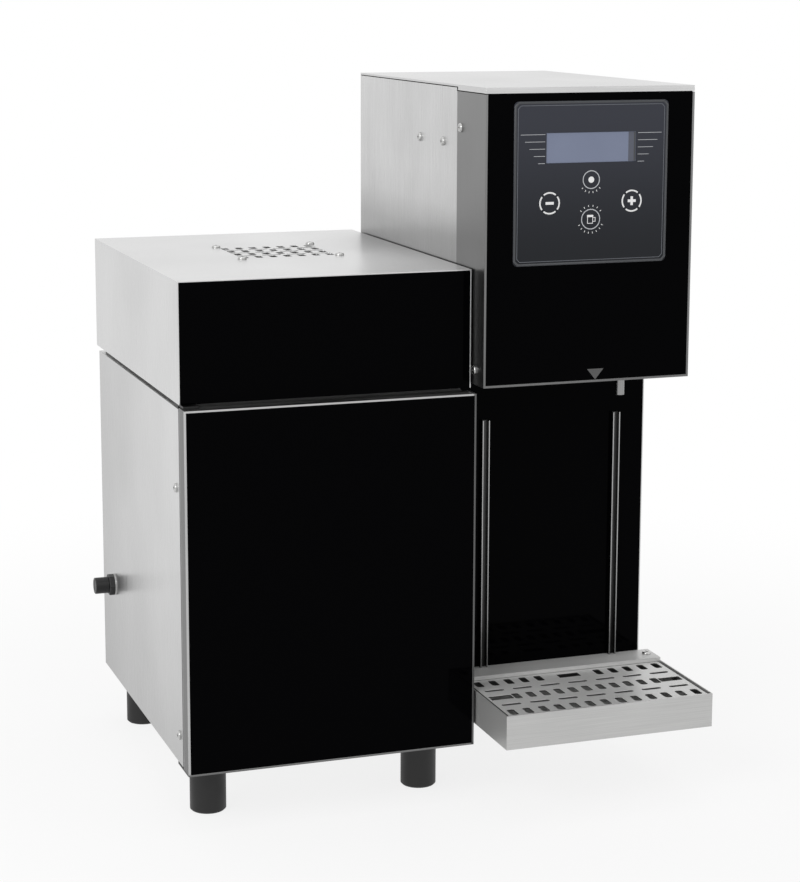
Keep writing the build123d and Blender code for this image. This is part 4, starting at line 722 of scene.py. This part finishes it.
# key symbols, each riding on its own key
keySet = {"ringRadius": {"key_status": 8.8, "key_dispense": 9.8},
          "arcRadius": 10.3, "dotRadius": 3.1, "barLength": 8.8, "barWidth": 2.7}
keyPlace = {}
for name in keyNames:
    low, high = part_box(name)
    keyPlace[name] = onFront((low.x + high.x) / 2, low.y, (low.z + high.z) / 2)
    depth = panelSet["printDepth"]
    if name in keySet["ringRadius"]:
        makePiece(name + "Ring", arcs,
                  {"Radius": keySet["ringRadius"][name] * mm, "Band": panelSet["ringBand"] * mm,
                   "Depth": depth * mm, "Arcs": 1, "Sweep": math.tau},
                  keyPlace[name], name, greyInk)
    else:
        makePiece(name + "Ring", arcs,
                  {"Radius": keySet["arcRadius"] * mm, "Band": panelSet["arcBand"] * mm,
                   "Depth": depth * mm, "Arcs": 4, "Sweep": math.radians(panelSet["arcSweep"])},
                  keyPlace[name], name, whiteInk)

bar = rectangle(0, 0, keySet["barLength"], keySet["barWidth"])
half = (keySet["barLength"] - keySet["barWidth"]) / 4 + keySet["barWidth"] / 2
arm = (keySet["barLength"] - keySet["barWidth"]) / 2
symbols = {
    "key_status": [circle(keySet["dotRadius"])],
    "key_minus": [bar],
    "key_plus": [bar, rectangle(0, half, keySet["barWidth"], arm),
                 rectangle(0, -half, keySet["barWidth"], arm)],
    # a plain beaker: rim, body, foot and a handle
    "key_dispense": [rectangle(-0.6, 3.2, 6.6, 2.2), rectangle(-3.4, -0.9, 0.6, 6.0),
                     rectangle(2.2, -0.9, 0.6, 6.0), rectangle(-0.6, -4.1, 6.2, 0.6),
                     rectangle(3.9, 1.6, 2.6, 0.6), rectangle(4.9, -0.3, 0.6, 3.2),
                     rectangle(3.9, -2.2, 2.6, 0.6)],
}
for name, outlines in symbols.items():
    flatPiece(name + "Symbol", outlines, panelSet["printDepth"], keyPlace[name], name, whiteInk)

# short tick marks along arcs round two of the keys
tickSet = {
    "width": 0.6,
    "length": 1.8,
    "arcs": {  # key, radius, start and sweep in degrees, number of ticks
        "statusTicks": ("key_status", 12.6, 222, 96, 6),
        "volumeTicks": ("key_dispense", 13.4, 38, 104, 6),
        "dispenseTicks": ("key_dispense", 13.6, 205, 130, 8),
    },
}
for name, (key, radius, start, sweep, count) in tickSet["arcs"].items():
    middle = centreOf(key)
    makePiece(name, ticks,
              {"Radius": radius * mm, "Start": math.radians(start), "Sweep": math.radians(sweep),
               "Ticks": count, "Width": tickSet["width"] * mm, "Length": tickSet["length"] * mm,
               "Depth": panelSet["printDepth"] * mm},
              onFront(middle.x, printY, middle.z), "housing", whiteInk)


# the display: a grey-blue cell behind glass, with a painted shadow of the bezel as a darker strip at the
# right
def displayCell(name, light, dark):
    material, tree, shader, place = newMaterial(name)
    haze = addNode(tree, "ShaderNodeTexNoise", None,
                   {"Vector": place, "Scale": 1 / (45 * mm), "Detail": 2.0})
    tone = addNode(tree, "ShaderNodeMix", {"data_type": "RGBA"},
                   {"Factor": haze.outputs["Fac"], "A": paint(dark), "B": paint(light)})
    tree.links.new(tone.outputs["Result"], shader.inputs["Base Color"])
    shader.inputs["Roughness"].default_value = 0.22
    shader.inputs["Specular IOR Level"].default_value = 0.25
    return material


cell = displayCell("unlit display cell", "#7F879D", "#767E94")
strip = displayCell("display strip, painted bezel shadow", "#60636F", "#565964")
dress(cell, "display_module")
displayFace = displayLow.y
windowMiddle = windowTop - windowSet["height"] / 2 * mm
stripSet = {  # distance of the middle from the window's right edge, width, depth
    "margin": 0.8,
    "displayStrip": (4.4, 8.0, 0.06, strip),
    "displayStripLight": (1.6, 1.8, 0.10, filmEdge),
}
# displayStrip is the painted shadow of the bezel on the cell
for name in ("displayStrip", "displayStripLight"):
    fromRight, width, depth, material = stripSet[name]
    outline = rectangle(windowSet["width"] / 2 - fromRight, 0, width,
                        windowSet["height"] - stripSet["margin"])
    flatPiece(name, [outline], depth, onFront(overlayMiddle.x, displayFace, windowMiddle),
              "housing", material)

# the grey mark over the spouts
markSet = {"width": 18.0, "height": 11.0, "above": 2.6, "fromLeft": 121.0}
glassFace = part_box("head_glass")[0].y
flatPiece("spoutMark", [[(-markSet["width"] / 2, markSet["height"]), (0, 0),
                         (markSet["width"] / 2, markSet["height"])]], panelSet["printDepth"],
          onFront(headLow.x + markSet["fromLeft"] * mm, glassFace, headLow.z + markSet["above"] * mm),
          "housing", markInk)
print("panel prints ready")
